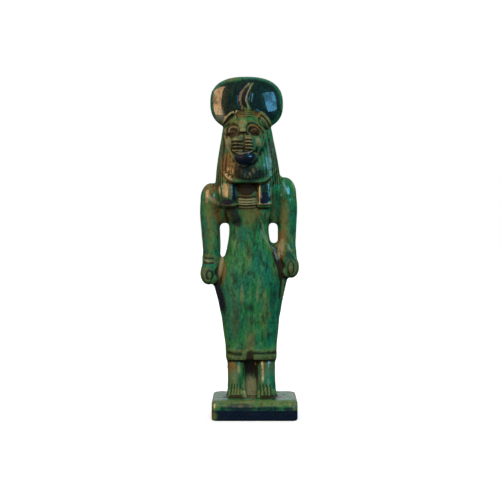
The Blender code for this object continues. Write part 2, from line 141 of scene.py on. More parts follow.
def limb(path, radii, count=40, sides=20):
    # A circle carried along a smooth path, square to it, with its own radius at each place
    centres = smoothLine(path, count)
    widths = smoothLine([[r] for r in radii], count)
    ahead = np.gradient(centres, axis=0)
    ahead /= np.linalg.norm(ahead, axis=1)[:, None]
    guide = np.eye(3)[np.argmin(np.abs(ahead).mean(0))]
    sideways = np.cross(ahead, guide)
    sideways /= np.linalg.norm(sideways, axis=1)[:, None]
    upward = np.cross(ahead, sideways)
    turn = np.linspace(0, 2 * math.pi, sides, endpoint=False)[None, :, None]
    rim = np.cos(turn) * sideways[:, None] + np.sin(turn) * upward[:, None]
    return closedSkin(centres[:, None] + widths[:, None] * rim)


def bead(path, radius, count=32):
    # A raised line of even thickness with thin ends
    return limb(path, [radius * 0.3] + [radius] * (len(path) - 2) + [radius * 0.3], count, 12)


def pressed(form, depth, width, foot, top):
    # An upright fold pressed into the front: a bell across it, fading from its foot to its top
    points, faces = form
    x, y, z = points.T
    fade = np.clip((top - z) / (top - foot), 0, 1) ** 1.5
    points[:, 1] = np.where(y < 0, y + depth * fade * np.exp(-((x / width) ** 2)), y)
    return points, faces


disc = {"centre": (0.0, 2.0, 155.2), "radii": (19.4, 5.6, 14.3), "squareness": 2.5}


def discForm():
    # A flat lens: circles of latitude about the line of sight, squared off to an oval outline
    latitude = np.linspace(-1.55, 1.55, 60)[:, None]
    square = disc["squareness"]
    across, up = roundedSection(144, square)
    stretch = 1 / (np.abs(across) ** square + np.abs(up) ** square) ** (1 / square)
    rows = np.stack([
        np.cos(latitude) * across * stretch,
        np.sin(latitude) + 0 * across,
        np.cos(latitude) * up * stretch,
    ], -1)
    points, faces = closedSkin(rows)
    return [(points * disc["radii"] + disc["centre"], faces)]


def cobraForms():
    # A ribbed coil, a pointed hood of two lobes and the back behind them
    forms = [ball((0.4, -10.7 + 1.05 * row, 147.0 + 1.45 * row), (2.0, 2.1, 0.95)) for row in range(4)]
    outer = [(-1.2, -5.8, 151.6), (-2.2, -6.0, 156), (-1.0, -5.2, 160), (1.6, -3.8, 164.2)]
    inner = [(0.8, -6.0, 151.6), (0.6, -6.8, 156), (1.5, -5.6, 160.5), (2.7, -3.6, 165.2)]
    forms += [limb(outer, [0.6, 0.95, 0.8, 0.35]), limb(inner, [0.7, 1.1, 0.95, 0.35])]
    return forms + [ball((0.0, -3.2, 156.6), (2.2, 1.7, 6.6), (0, 10, 0))]


wig = {
    "locks": 36,
    "lockDepth": 0.022,
    "lappetFoot": 101.2,
    "lappetMiddles": (-10.2, 8.4),
    "lappetHalfWidth": 4.0,
    "lappetTurns": (-18, 4),  # degrees
    "fall": [
        (106, 0, 16.6, -3.0, 12.0),
        (113, 0, 17.0, -6.0, 12.2),
        (120, 0, 16.4, -7.5, 12.2),
        (128, 0, 15.2, -7.5, 12.0),
        (136, 0, 13.7, -7.0, 11.4),
        (142, 0, 12.6, -6.5, 10.2),
        (147, 0, 10.6, -5.5, 8.6),
        (151, 0, 6.5, -3.5, 6.5),
    ],
}


def wigForms():
    # The heavy hair behind the shoulders and its two squared front ends on the chest
    forms = [loft(wig["fall"], 80, 432, 2.6, wig["locks"], wig["lockDepth"])]
    foot, half = wig["lappetFoot"], wig["lappetHalfWidth"]
    for middle, turn in zip(wig["lappetMiddles"], wig["lappetTurns"]):
        forms.append(loft([
            (foot, middle, half - 0.1, -11.2, -5),
            (foot + 6, middle, half, -11.6, -4),
            (114, middle * 1.02, half + 0.1, -11.6, -3),
            (122, middle * 1.02, half, -9.5, -2),
        ], 20, 64, 3.4))
        forms.append(loft([
            (foot - 1.4, middle, half - 0.5, -10.2, -5),
            (foot + 1, middle, half - 0.5, -10.4, -5),
        ], 4, 64, 4.5))
        # Each front end looks a little outwards
        aside, pivot = turnMatrix((0, 0, turn)).T, (middle, -7.5, 0)
        forms[-2:] = [((points - pivot) @ aside + pivot, faces) for points, faces in forms[-2:]]
    return forms


ruff = [
    (112.4, 0, 12.4, -12.6, figure["ruffBack"]),
    (114, 0, 13.4, -13.4, figure["ruffBack"]),
    (120, 0, 13.9, -13.9, figure["ruffBack"]),
    (127, 0, 13.5, -13.0, figure["ruffBack"]),
    (134, 0, 12.5, -11.4, figure["ruffBack"]),
    (141, 0, 11.4, -9.8, figure["ruffBack"]),
    (147, 0, 9.4, -7.6, figure["ruffBack"]),
    (150.5, 0, 5.5, -5.0, figure["ruffBack"] - 1),
]


def ruffPoints(side, height, proud=0.0):
    # Places on the ruff's front at a share of its half width, by the section's own power law
    table = np.array(ruff)
    half = np.interp(height, table[:, 0], table[:, 2]) + proud
    front = np.interp(height, table[:, 0], table[:, 3]) - proud
    deep = (figure["ruffBack"] - front) / 2
    square = figure["softSquareness"]
    reach = deep * (1 - np.abs(side) ** square) ** (1 / square)
    return np.stack([half * side, (front + figure["ruffBack"]) / 2 - reach, height], -1)


def maneForms():
    # The ruff round the face, its rolled rim, and locks that run down to the rim
    heights = np.array([142.0, 136, 130, 124])
    down = ruffPoints(np.full(4, -0.985), heights, 0.1)
    across = np.linspace(-0.97, 0.97, 33)
    along = ruffPoints(across, 113.4 + 7 * np.abs(across) ** 5, 0.1)
    rim = np.vstack([down, along, down[::-1] * (-1, 1, 1)])
    thick = np.hstack([[0.8, 1.1, 1.3, 1.3], 0.8 + 0.5 * across**2, [1.3, 1.3, 1.1, 0.8]])
    forms = [loft(ruff, 80, 160), limb(rim, thick, 160, 16)]
    share = np.linspace(0, 1, 6)
    for side in np.linspace(-0.9, 0.9, 15):
        top, foot = 116.5 + 23 * abs(side) ** 1.3, 114.2 + 5 * abs(side) ** 6
        path = ruffPoints(side * (0.86 + 0.14 * share), top + (foot - top) * share, 0.15)
        forms.append(limb(path, [0.3, 0.75, 0.9, 0.9, 0.8, 0.4], 36, 16))
    return forms


# The face's own heights are above the middle of the chin
muzzle = [
    (2.9, 0, 4.6, -14.6, figure["muzzleBack"]),
    (4.0, 0, 6.0, -17.0, figure["muzzleBack"]),
    (6.4, 0, 6.6, -18.2, figure["muzzleBack"]),
    (9.2, 0, 6.2, -18.2, figure["muzzleBack"]),
    (11.4, 0, 5.0, -17.9, figure["muzzleBack"]),
    (13.4, 0, 3.4, -17.2, figure["muzzleBack"]),
]


def muzzlePoints(across, height, proud):
    # Places on the muzzle's boxy front
    table = np.array(muzzle)
    half = np.interp(height, table[:, 0], table[:, 2])
    front = np.interp(height, table[:, 0], table[:, 3])
    deep = (figure["muzzleBack"] - front) / 2
    share = np.minimum(np.abs(across) / half, 0.999)
    reach = deep * (1 - share ** figure["muzzleSquareness"]) ** (1 / figure["muzzleSquareness"])
    return np.stack([across, front + deep - reach - proud, height + 0 * across], -1)


def muzzleForms():
    # A boxy muzzle with a cleft, a flat nose, the chin, and whisker ridges on both pads
    forms = [
        pressed(loft(muzzle, 50, 160, figure["muzzleSquareness"]), 1.0, 0.9, 9, 12),
        ball((0.5, -12.6, 0.9), (6.5, 5.4, 4.6), rings=40, sides=64),
        limb([(0, -9.2, 21.8), (0, -13.0, 17.4), (0, -15.9, 14.4)], [4.2, 3.1, 2.6], sides=32),
        ball((0, -16.8, 13.8), (2.9, 1.9, 1.3)),
    ]
    for side in (-1, 1):
        # Full cheeks below the eyes, beside the nose
        forms.append(ball((side * 4.6, -12.0, 9.0), (4.2, 3.6, 3.6), (0, side * 30, 0)))
        forms.append(ball((side * 7.4, -9.6, 6.8), (3.0, 3.4, 4.8), (0, side * 18, 0)))
        for row in range(4):
            across = side * np.array([1.0, 2.4, 3.8, 5.0, 5.9])
            forms.append(bead(muzzlePoints(across, 9.8 + 0.4 * side - 1.8 * row, 0.0), 0.6))
    return forms


eyes = {
    -1: {"middle": (-6.4, -12.1, 13.6), "slant": 1.1, "ball": (1.8, 1.8, 1.3)},
    1: {"middle": (5.8, -12.4, 13.8), "slant": -0.7, "ball": (2.0, 1.6, 1.3)},
}


def eyeForms(side):
    # A ball in a ring of lid, under a brow that arches from the nose to the temple
    eye = eyes[side]
    middle = np.array(eye["middle"])
    forms = [ball(middle, eye["ball"], (0, -11 * eye["slant"], 0))]
    turn = np.linspace(0, 2 * math.pi, 17)
    across, up = np.cos(turn), np.sin(turn)
    lid = middle + np.stack([3.0 * across, 0.5 * np.abs(across) + 0.1, 2.1 * up + eye["slant"] * across], -1)
    forms.append(limb(lid, [0.55] * 17, 72, 14))
    turn = np.linspace(0.25, math.pi - 0.25, 9)
    across, up = np.cos(turn), np.sin(turn)
    brow = [4.9 * across, 1.5 * np.abs(across) + 0.4, 4.4 * up + 1.1 * eye["slant"] * across - 0.6]
    forms.append(bead(middle + np.stack(brow, -1), 0.7, 64))
    return forms


def faceForms():
    # A domed brow, cheeks edged by a jaw line, the eyes and the muzzle, all turned a little aside
    forms = [ball((0, -7.0, 10.0), (10.2, 7.3, 12.8), rings=50, sides=90)]
    forms.append(ball((0, -7.2, 18.0), (8.8, 6.6, 6.2), rings=40, sides=80))
    turn = np.linspace(-0.5, math.pi + 0.5, 17)
    down = np.sin(turn)
    narrowing = 1 - 0.36 * np.maximum(down, 0)
    jaw = [10.4 * np.cos(turn) * narrowing, -8.8 - 5.9 * down * np.abs(down), 11.0 - 14.8 * down]
    forms.append(limb(np.stack(jaw, -1), [0.3, 0.5, 0.7, 0.8] + [0.9] * 9 + [0.8, 0.7, 0.5, 0.3], 120, 14))
    forms += muzzleForms() + eyeForms(-1) + eyeForms(1)
    aside = turnMatrix((0, 0, figure["faceTurn"])).T
    return [(points @ aside + (0, 0, figure["chinHeight"]), faces) for points, faces in forms]


def earForms():
    # Leaf-shaped ears laid slantwise on the corners of the crown, each with a rolled rim
    forms = []
    outline = [(12.8, -6.2, 141.6), (11.8, -7.8, 144.6), (9.8, -8.2, 147.6), (7.4, -7.4, 149.6)]
    outline += [(6.2, -8.2, 148.2), (5.8, -9.0, 146.4), (6.0, -9.4, 145.2)]
    for side in (-1, 1):
        forms.append(bead(np.array(outline) * (side, 1, 1), 0.75, 90))
        forms.append(ball((side * 9.0, -5.6, 145.4), (3.0, 2.4, 4.6), (0, -side * 40, 0)))
    return forms


def collarForms():
    # Rows of a broad collar that show between the wig's two front ends
    forms = [ball((-1.0, -3.0, 109), (8, 6, 6))]
    x = np.linspace(-6, 6, 7)
    for row in range(4):
        line = [x - 1.0, -9.4 + 0.25 * row + 0.02 * x**2, 101.4 + 2.0 * row + 0.012 * x**2]
        forms.append(bead(np.stack(line, -1), 0.8))
    return forms


dress = {
    "armpitHeight": 91.8,
    "creaseDepth": 1.5,
    "creaseWidth": 1.3,
    "creaseTop": 42.0,
    "trunk": [
        (figure["hemHeight"], 0, 13.0, -7.6, 8.6),
        (29, 0, 13.9, -8.0, 9.0),
        (37, 0, 14.9, -8.4, 9.4),
        (46, 0, 15.6, -8.9, 10.0),
        (57, 0, 16.4, -9.6, 10.8),
        (66, 0, 15.7, -9.6, 10.8),
        (76, 0, 12.6, -8.3, 9.6),
        (85, 0, 10.7, -7.1, 8.2),
        (91, 0, 10.6, -7.0, 8.2),
        (96, 0, 11.6, -7.4, 8.4),
        (102, 0, 13.7, -8.2, 9.0),
        (109, 0, 15.8, -7.6, 9.2),
        (115, 0, 13.0, -6.0, 8.6),
        (119, 0, 9.0, -4.5, 7.5),
    ],
}


def creased(form):
    # The fold between the legs, from the hem up
    return pressed(form, dress["creaseDepth"], dress["creaseWidth"], figure["hemHeight"], dress["creaseTop"])


def bodyForms():
    # The torso and the close dress down to the hem, and the yoke that carries the arms
    yoke = [
        (dress["armpitHeight"], 0, 16.8, -0.8, 7.6),
        (95, 0, 18.0, -1.4, 8.0),
        (103, 0, 20.0, -3.4, 8.2),
        (109, 0.9, 20.6, -4.4, 8.0),
        (113, 1.4, 19.0, -4.0, 7.6),
        (117, 1.6, 15.6, -3.0, 6.8),
        (120, 1.2, 9.0, -1.0, 6.0),
    ]
    forms = [creased(loft(dress["trunk"], 150, 150)), loft(yoke, 60, 120, 2.8)]
    for side in (-1, 1):
        forms.append(ball((side * 6.2, -4.5, 97.4), (5.4, 3.1, 6.2), rings=40, sides=60))
        forms.append(ball((side * 6.2, -2.6, 50.0), (6.6, 6.6, 30.0), rings=60, sides=60))
    return forms


def hemForms():
    # Two raised bands round the foot of the dress
    hem = figure["hemHeight"]
    forms = []
    for low, high in ((hem, hem + 3.2), (hem + 4.2, hem + 5.4)):
        band = [(low, 0, 13.5, -8.5, 9.0), (high, 0, 13.7, -8.6, 9.0)]
        forms.append(creased(loft(band, 5, 180, 2.7)))
    return forms


arms = {
    "shoulderApart": 20.8,
    "fistApart": 22.1,
    "fistHeight": 68.6,
    "sides": ((-1, 3.6, 3.1, 73.4), (1, 0.0, 0.0, 81.0)),  # side, arm drop, shoulder drop, web top
}


def armForms(side, drop, shoulderDrop):
    # An arm hanging straight down, its shoulder cap and a bracelet of two rings
    apart, fistApart, fistHeight = arms["shoulderApart"], arms["fistApart"], arms["fistHeight"]
    path = [
        (side * (apart - 0.4), 1.6, 108 - shoulderDrop),
        (side * apart, 1.8, 100 - shoulderDrop),
        (side * (apart - 0.5), 1.6, 90 - drop),
        (side * (apart - 0.8), 0.8, 80 - drop),
        (side * (fistApart - 1.2), -0.6, fistHeight + 2.4 - drop),
    ]
    forms = [limb(path, [5.0, 5.1, 5.0, 4.7, 4.4], 60, 48)]
    forms.append(ball((side * (apart - 1.3), 1.6, 107.5 - shoulderDrop), (6.0, 5.5, 8.6), rings=50, sides=60))
    turn = np.linspace(0, 2 * math.pi, 17)
    ringX, ringY = side * (fistApart - 1.9) + 4.5 * np.cos(turn), 0.3 + 4.5 * np.sin(turn)
    for height in (fistHeight + 8.4, fistHeight + 6.0):
        ring = np.stack([ringX, ringY, height - drop + 0 * turn], -1)
        forms.append(limb(ring, [0.65] * 17, 80, 12))
    return forms


def fistForms(side, drop):
    # A closed hand: the palm, four curled fingers on its inner side and the thumb in front
    apart, height = arms["fistApart"], arms["fistHeight"] - drop
    forms = [ball((side * apart, -1.2, height), (4.2, 5.4, 6.0), rings=40, sides=60)]
    for finger in range(4):
        forms.append(ball((side * (apart - 1.6), -3.9 + 2.3 * finger, height - 3.0), (3.4, 1.25, 2.9)))
    turn = np.linspace(0, 2 * math.pi, 13)
    thumb = [side * apart + 1.9 * np.cos(turn), -6.1 + 0 * turn, height - 0.6 + 3.5 * np.sin(turn)]
    forms.append(limb(np.stack(thumb, -1), [0.8] * 13, 60, 14))
    forms.append(ball((side * apart, -5.9, height - 0.6), (0.9, 1.1, 2.3)))
    return forms


def webForm(side, top):
    # The thin wall that joins the forearm to the hip, down to a point on the thigh
    return loft([
        (36, side * 9.4, 4.4, -3.4, 7.4),
        (44, side * 11.0, 4.9, -4.0, 7.5),
        (50, side * 11.7, 5.3, -3.6, 7.5),
        (57, side * 13.1, 5.6, -3.0, 7.0),
        (65, side * 15.0, 5.0, -2.6, 6.5),
        (top, side * 15.4, 3.4, -1.0, 5.0),
    ], 50, 60, 3.2)


def footForms():
    # Bare ankles and feet side by side, the left one a little forward, each with five toes
    forms = []
    for middle, forward in ((-8.0, 0.0), (7.8, 2.0)):
        inner = -1 if middle > 0 else 1
        shin = [
            (middle, -1.2, figure["hemHeight"] + 3),
            (middle, -1.4 - forward * 0.4, 10),
            (middle, -1.0 - forward, -1),
        ]
        forms.append(limb(shin, [4.9, 4.7, 5.2], 40, 48))
        forms.append(ball((middle, -2.2 - forward, 1.8), (5.3, 6.4, 4.8), rings=40, sides=60))
        for toe in range(5):
            x = middle + inner * (3.9 - 1.95 * toe)
            radius = 1.4 if toe == 0 else 1.15 - 0.06 * toe
            forms.append(ball((x, -7.0 - forward + 0.35 * toe, 1.9), (radius, 2.5, 2.4)))
    return forms


def pillarForm():
    # The plain upright slab behind the figure, from the plinth to the wig
    return loft([
        (-1, 0, 7.6, 1.0, 14.0),
        (figure["hemHeight"] + 6, 0, 7.4, 1.6, 14.0),
        (60, 0, 7.0, 5.0, 14.0),
        (121, 0, 6.4, 5.0, 14.0),
    ], 20, 96, 9)


plinth = {
    "halfWidth": 0.0223,
    "halfDepth": 0.0190,
    "height": 0.0105,
    "frontRound": 0.0042,
    "topRound": 0.0014,
    "footRound": 0.0008,
    "cornerRound": 0.0026,
}


def plinthForm():
    # A rounded rectangle carried upward; near the top and the foot each side draws in on a quarter circle
    p = plinth
    heights = np.concatenate([np.linspace(0, p["footRound"], 8), np.linspace(0.001, p["height"], 60)])

    def drawIn(rounding):
        above = np.clip((heights - (p["height"] - rounding)) / rounding, 0, 1)
        return rounding * (1 - np.sqrt(1 - above**2))

    below = np.clip((p["footRound"] - heights) / p["footRound"], 0, 1)
    footIn = p["footRound"] * (1 - np.sqrt(1 - below**2))
    half = p["halfWidth"] - drawIn(p["topRound"]) - footIn
    front = -p["halfDepth"] + drawIn(p["frontRound"]) + footIn
    back = p["halfDepth"] - drawIn(p["topRound"]) - footIn
    turn = np.linspace(0, 2 * math.pi, 240, endpoint=False)
    # Each corner is a quarter circle about a point a rounding inside both sides
    cornerX, cornerY = np.sign(np.cos(turn)), np.sign(np.sin(turn))
    deep, middle = (back - front) / 2, (front + back) / 2
    x = cornerX * (half[:, None] - p["cornerRound"]) + p["cornerRound"] * np.cos(turn)
    y = middle[:, None] + cornerY * (deep[:, None] - p["cornerRound"]) + p["cornerRound"] * np.sin(turn)
    return closedSkin(np.stack([x, y, heights[:, None] + 0 * x], -1))


def placed(form):
    # From carving units to metres: the lean goes sideways with height, then scale and move
    points, faces = form
    x, y, z = points.T
    leaned = np.stack([x + figure["lean"] * z, y, z], -1)
    return leaned * figure["unit"] + figure["origin"], faces


def figureForms():
    # Every form of the figure in metres, and the plinth under it
    forms = discForm() + cobraForms() + wigForms() + maneForms() + faceForms() + earForms() + collarForms()
    forms += bodyForms() + hemForms() + footForms() + [pillarForm()]
    for side, drop, shoulderDrop, webTop in arms["sides"]:
        forms += armForms(side, drop, shoulderDrop) + fistForms(side, drop) + [webForm(side, webTop)]
    return [placed(form) for form in forms] + [plinthForm()]


# How much finer the skin is at each height, in metres, and how much from the back to the front
fineness = {
    "heights": (-0.02, 0.0, 0.010, 0.013, 0.019, 0.026, 0.095, 0.108, 0.124, 0.162, 0.172, 0.20),
    "scales": (1.0, 0.9, 1.2, 1.5, 1.4, 0.95, 0.95, 1.25, 1.8, 1.75, 1.1, 1.1),
    "depths": (-0.02, 0.016),
    "depthScales": (1.12, 0.85),
}


# The scales at close levels, and their sum from the lowest level up
levels = np.linspace(fineness["heights"][0], fineness["heights"][-1], 2200)
levelScales = np.interp(levels, fineness["heights"], fineness["scales"])
climbed = np.concatenate([[0], np.cumsum((levelScales[1:] + levelScales[:-1]) / 2 * np.diff(levels))])


def stretched(points):
    # Every height is enlarged by its own scale, and the front more: an even voxel is finer there
    x, y, z = points.T
    here = np.interp(z, levels, levelScales)
    nearer = np.interp(y, fineness["depths"], fineness["depthScales"])
    return np.stack([x * here * nearer, y * here, np.interp(z, levels, climbed) * nearer], -1)


def unstretched(points):
    # The way back, found by rounds of correction from the stretched place
    x, y, z = points.T
    height = np.interp(z, climbed, levels)
    for _ in range(30):
        here = np.interp(height, levels, levelScales)
        nearer = np.interp(y / here, fineness["depths"], fineness["depthScales"])
        height = np.interp(z / nearer, climbed, levels)
    here = np.interp(height, levels, levelScales)
    nearer = np.interp(y / here, fineness["depths"], fineness["depthScales"])
    return np.stack([x / (here * nearer), y / here, height], -1)


def meshFrom(name, points, faces):
    # A mesh from an array of points and a list of faces
    mesh = bpy.data.meshes.new(name)
    mesh.from_pydata(points.tolist(), [], faces)
    mesh.update()
    return mesh


def fusedFigure():
    # All the forms as one mesh, stretched, fused by an even voxel remesh and brought back
    forms = figureForms()
    starts = np.cumsum([0] + [len(points) for points, faces in forms])
    allPoints = stretched(np.vstack([points for points, faces in forms]))
    allFaces = np.vstack([faces + start for (points, faces), start in zip(forms, starts)]).tolist()
    piece = bpy.data.objects.new("glazedFigure", meshFrom("joined", allPoints, allFaces))
    bpy.context.collection.objects.link(piece)
    fuse = piece.modifiers.new("fuse", "REMESH")
    fuse.mode = "VOXEL"
    fuse.voxel_size = skin["voxel"]
    bpy.context.view_layer.update()
    fused = bpy.data.meshes.new_from_object(piece.evaluated_get(bpy.context.evaluated_depsgraph_get()))
    piece.modifiers.clear()
    piece.data = fused
    piece.data.name = "glazedFigure"
    writePoints(fused, unstretched(readPoints(fused)))
    return piece


# The mesh's places and normals as one row for each vertex
def readPoints(mesh):
    flat = np.empty(len(mesh.vertices) * 3)
    mesh.vertices.foreach_get("co", flat)
    return flat.reshape(-1, 3)


def writePoints(mesh, points):
    mesh.vertices.foreach_set("co", points.ravel())
    mesh.update()


def readNormals(mesh):
    flat = np.empty(len(mesh.vertices) * 3, np.float32)
    mesh.vertex_normals.foreach_get("vector", flat)
    return flat.reshape(-1, 3).astype(float)


def neighbourMean(values, edges, counts):
    # The mean of each vertex's neighbours, summed along the edges
    total = np.zeros_like(values)
    for column in range(values.shape[1]):
        for near, far in ((0, 1), (1, 0)):
            total[:, column] += np.bincount(edges[:, near], values[edges[:, far], column], len(values))
    return total / counts[:, None]


figurePiece = fusedFigure()
skinMesh = figurePiece.data
print("fused:", len(skinMesh.vertices), "vertices,", len(skinMesh.polygons), "faces")

edges = np.empty(len(skinMesh.edges) * 2, np.int64)
skinMesh.edges.foreach_get("vertices", edges)
edges = edges.reshape(-1, 2)
edgeCounts = np.bincount(edges.ravel(), minlength=len(skinMesh.vertices)).astype(float)


def eased(points, rounds):
    # Plain smoothing: half of the way to the neighbours' mean, round after round
    for _ in range(rounds):
        points = points + 0.5 * (neighbourMean(points, edges, edgeCounts) - points)
    return points


def spread(values, rounds):
    # The same for one number at each vertex
    return eased(values[:, None], rounds)[:, 0]


def glazeOver(mesh, settings):
    # Glaze fills a hollow and rounds an edge a little: along the normal, a hollow moves out further
    rounds, fillShare, edgeShare = settings
    points = readPoints(mesh)
    for _ in range(rounds):
        normals = readNormals(mesh)
        toMean = neighbourMean(points, edges, edgeCounts) - points
        out = (toMean * normals).sum(1)
        along = toMean - out[:, None] * normals
        push = out * np.where(out > 0, fillShare, edgeShare)
        points = points + skin["slide"] * along + normals * push[:, None]
        points[:, 2] = np.maximum(points[:, 2], 0)
        writePoints(mesh, points)
    return points


writePoints(skinMesh, eased(readPoints(skinMesh), 1))
glazeOver(skinMesh, skin["glazing"])
print("glazed over")


def smoothStep(low, high, values):
    # 0 up to low, 1 from high on, and three squares less two cubes of the share between them
    t = np.clip((values - low) / (high - low), 0, 1)
    return t * t * (3 - 2 * t)


def pictureOf(points):
    # Right and down in the photograph's frame, by similar triangles from its camera
    far = camera["distance"] + points[:, 1]
    across = camera["middle"][0] + camera["focal"] * points[:, 0] / far
    down = camera["middle"][1] + camera["focal"] * (camera["height"] - points[:, 2]) / far
    return across, down


def lineDistance(across, down, path):
    # The shortest way, in the picture, from each place to a line of straight steps
    best = np.full(len(across), 1e9)
    for (x0, y0), (x1, y1) in zip(path[:-1], path[1:]):
        stepX, stepY = x1 - x0, y1 - y0
        share = np.clip(((across - x0) * stepX + (down - y0) * stepY) / (stepX**2 + stepY**2), 0, 1)
        best = np.minimum(best, np.hypot(across - x0 - share * stepX, down - y0 - share * stepY))
    return best


def stroke(across, down, path, width):
    # A bell across a smooth line: 1 on it, falling off within its width
    line = smoothLine(path, 6 * len(path))
    near = np.flatnonzero(
        (across > line[:, 0].min() - 3 * width) & (across < line[:, 0].max() + 3 * width)
        & (down > line[:, 1].min() - 3 * width) & (down < line[:, 1].max() + 3 * width)
    )
    bell = np.zeros(len(across))
    bell[near] = np.exp(-((lineDistance(across[near], down[near], line) / width) ** 2))
    return bell


def blob(across, down, middle, radii, soft=0.35, tilt=0.0):
    # 1 inside an oval, 0 outside, with an eased border that is that share of its radius
    turn = math.radians(tilt)
    x, y = across - middle[0], down - middle[1]
    u, v = x * math.cos(turn) + y * math.sin(turn), y * math.cos(turn) - x * math.sin(turn)
    return 1 - smoothStep(1 - soft, 1 + soft, np.hypot(u / radii[0], v / radii[1]))


# Cuts on the front: path in the picture, width in the picture, depth in millimetres
cuts = {
    "leftBrow": (
        [(227.2, 137.4), (226.8, 131.5), (228.4, 126.6), (232.8, 124.8), (236.8, 126.4), (238.6, 130.6)],
        1.2, 0.75,
    ),
    "leftLid": ([(228.4, 134.8), (229.4, 130.8), (232.4, 129.0), (235.6, 129.4), (237.4, 131.6)], 1.0, 0.65),
    "leftUnder": ([(237.4, 132.2), (235.2, 135.2), (231.4, 136.8), (228.0, 139.2)], 1.0, 0.45),
    "rightBrow": (
        [(247.2, 131.6), (247.0, 127.2), (249.2, 124.0), (252.6, 123.2), (257.2, 125.2), (260.8, 129.2),
         (262.2, 133)],
        1.0, 0.55,
    ),
    "rightLid": ([(249.8, 131.2), (251.4, 128.2), (254.8, 127.4), (258.4, 130.2), (261.0, 134.2)], 0.9, 0.45),
    "rightUnder": ([(249.6, 131.8), (252.4, 134.4), (256.4, 135.2), (261.2, 134.6)], 0.9, 0.25),
    "noseFoot": ([(237.8, 135.2), (239.4, 133.9), (242, 133.4), (245.4, 133.4), (248.0, 133.9)], 1.2, 0.8),
    "philtrum": ([(243.7, 135.5), (243.6, 142), (244.0, 151)], 1.0, 0.5),
    "mouth": ([(233.0, 153.0), (237, 155.0), (244, 155.2), (250.4, 153.8), (255.4, 151.4)], 0.8, 0.35),
    "cobraSplit": ([(246.2, 108.5), (243.8, 103), (243.4, 98), (245.0, 92.5), (248.6, 86.6)], 1.0, 0.9),
    "cobraLeft": ([(240.8, 108.5), (238.6, 102), (238.7, 96.5), (240.8, 90.6), (246.4, 84.0)], 0.9, 0.4),
    "cobraRight": ([(251.0, 107), (248.8, 102), (248.9, 97), (250.8, 91), (253.6, 85.2)], 0.9, 0.4),
    "leftEarInside": ([(222.6, 126.2), (226.6, 121.0), (231.0, 116.4), (235.4, 113.4)], 1.2, 0.5),
    "leftEarInner": ([(235.6, 113.4), (236.8, 116.6), (236.4, 120)], 0.8, 0.25),
    "rightEarGap": ([(262.2, 116.8), (266.0, 120.4), (269.6, 126.2)], 0.8, 0.5),
    "rightEarInner": ([(258.8, 118.4), (259.4, 122.0), (262.0, 125.8), (266.8, 129.4)], 0.9, 0.5),
    "ruffUnder": ([(227, 182.0), (234, 185.4), (248, 186.2), (262, 185.0), (269.6, 180)], 1.1, 0.4),
    "collarTop": ([(239, 197), (247, 197.6), (255.6, 196.4)], 1.2, 0.4),
    "waistLeft": ([(224.4, 252), (222.6, 266), (220.4, 284)], 0.9, 0.3),
    "waistRight": ([(278.6, 252), (281.2, 264), (281.2, 282), (279.4, 298)], 1.0, 0.35),
    "braceletTop": ([(204.4, 257.9), (208.6, 258.5), (213, 258.1)], 0.9, 0.5),
    "braceletFoot": ([(204.4, 262.5), (208.6, 263.1), (213, 262.7)], 0.9, 0.5),
    "navel": ([(248.1, 272.0), (248.5, 273.6)], 1.1, 0.4),
    "hemLeft": ([(227.6, 353.0), (233, 354.2), (240.5, 355.2)], 1.4, 1.0),
    "hemRight": ([(253.4, 353.6), (264, 353.6), (277, 352.4)], 1.2, 0.9),
    "hemLowLeft": ([(227.6, 361.2), (236, 361.8), (246, 361.4)], 1.0, 0.8),
    "hemLowRight": ([(252.8, 361.2), (264, 361.4), (277, 360.6)], 1.0, 0.8),
}
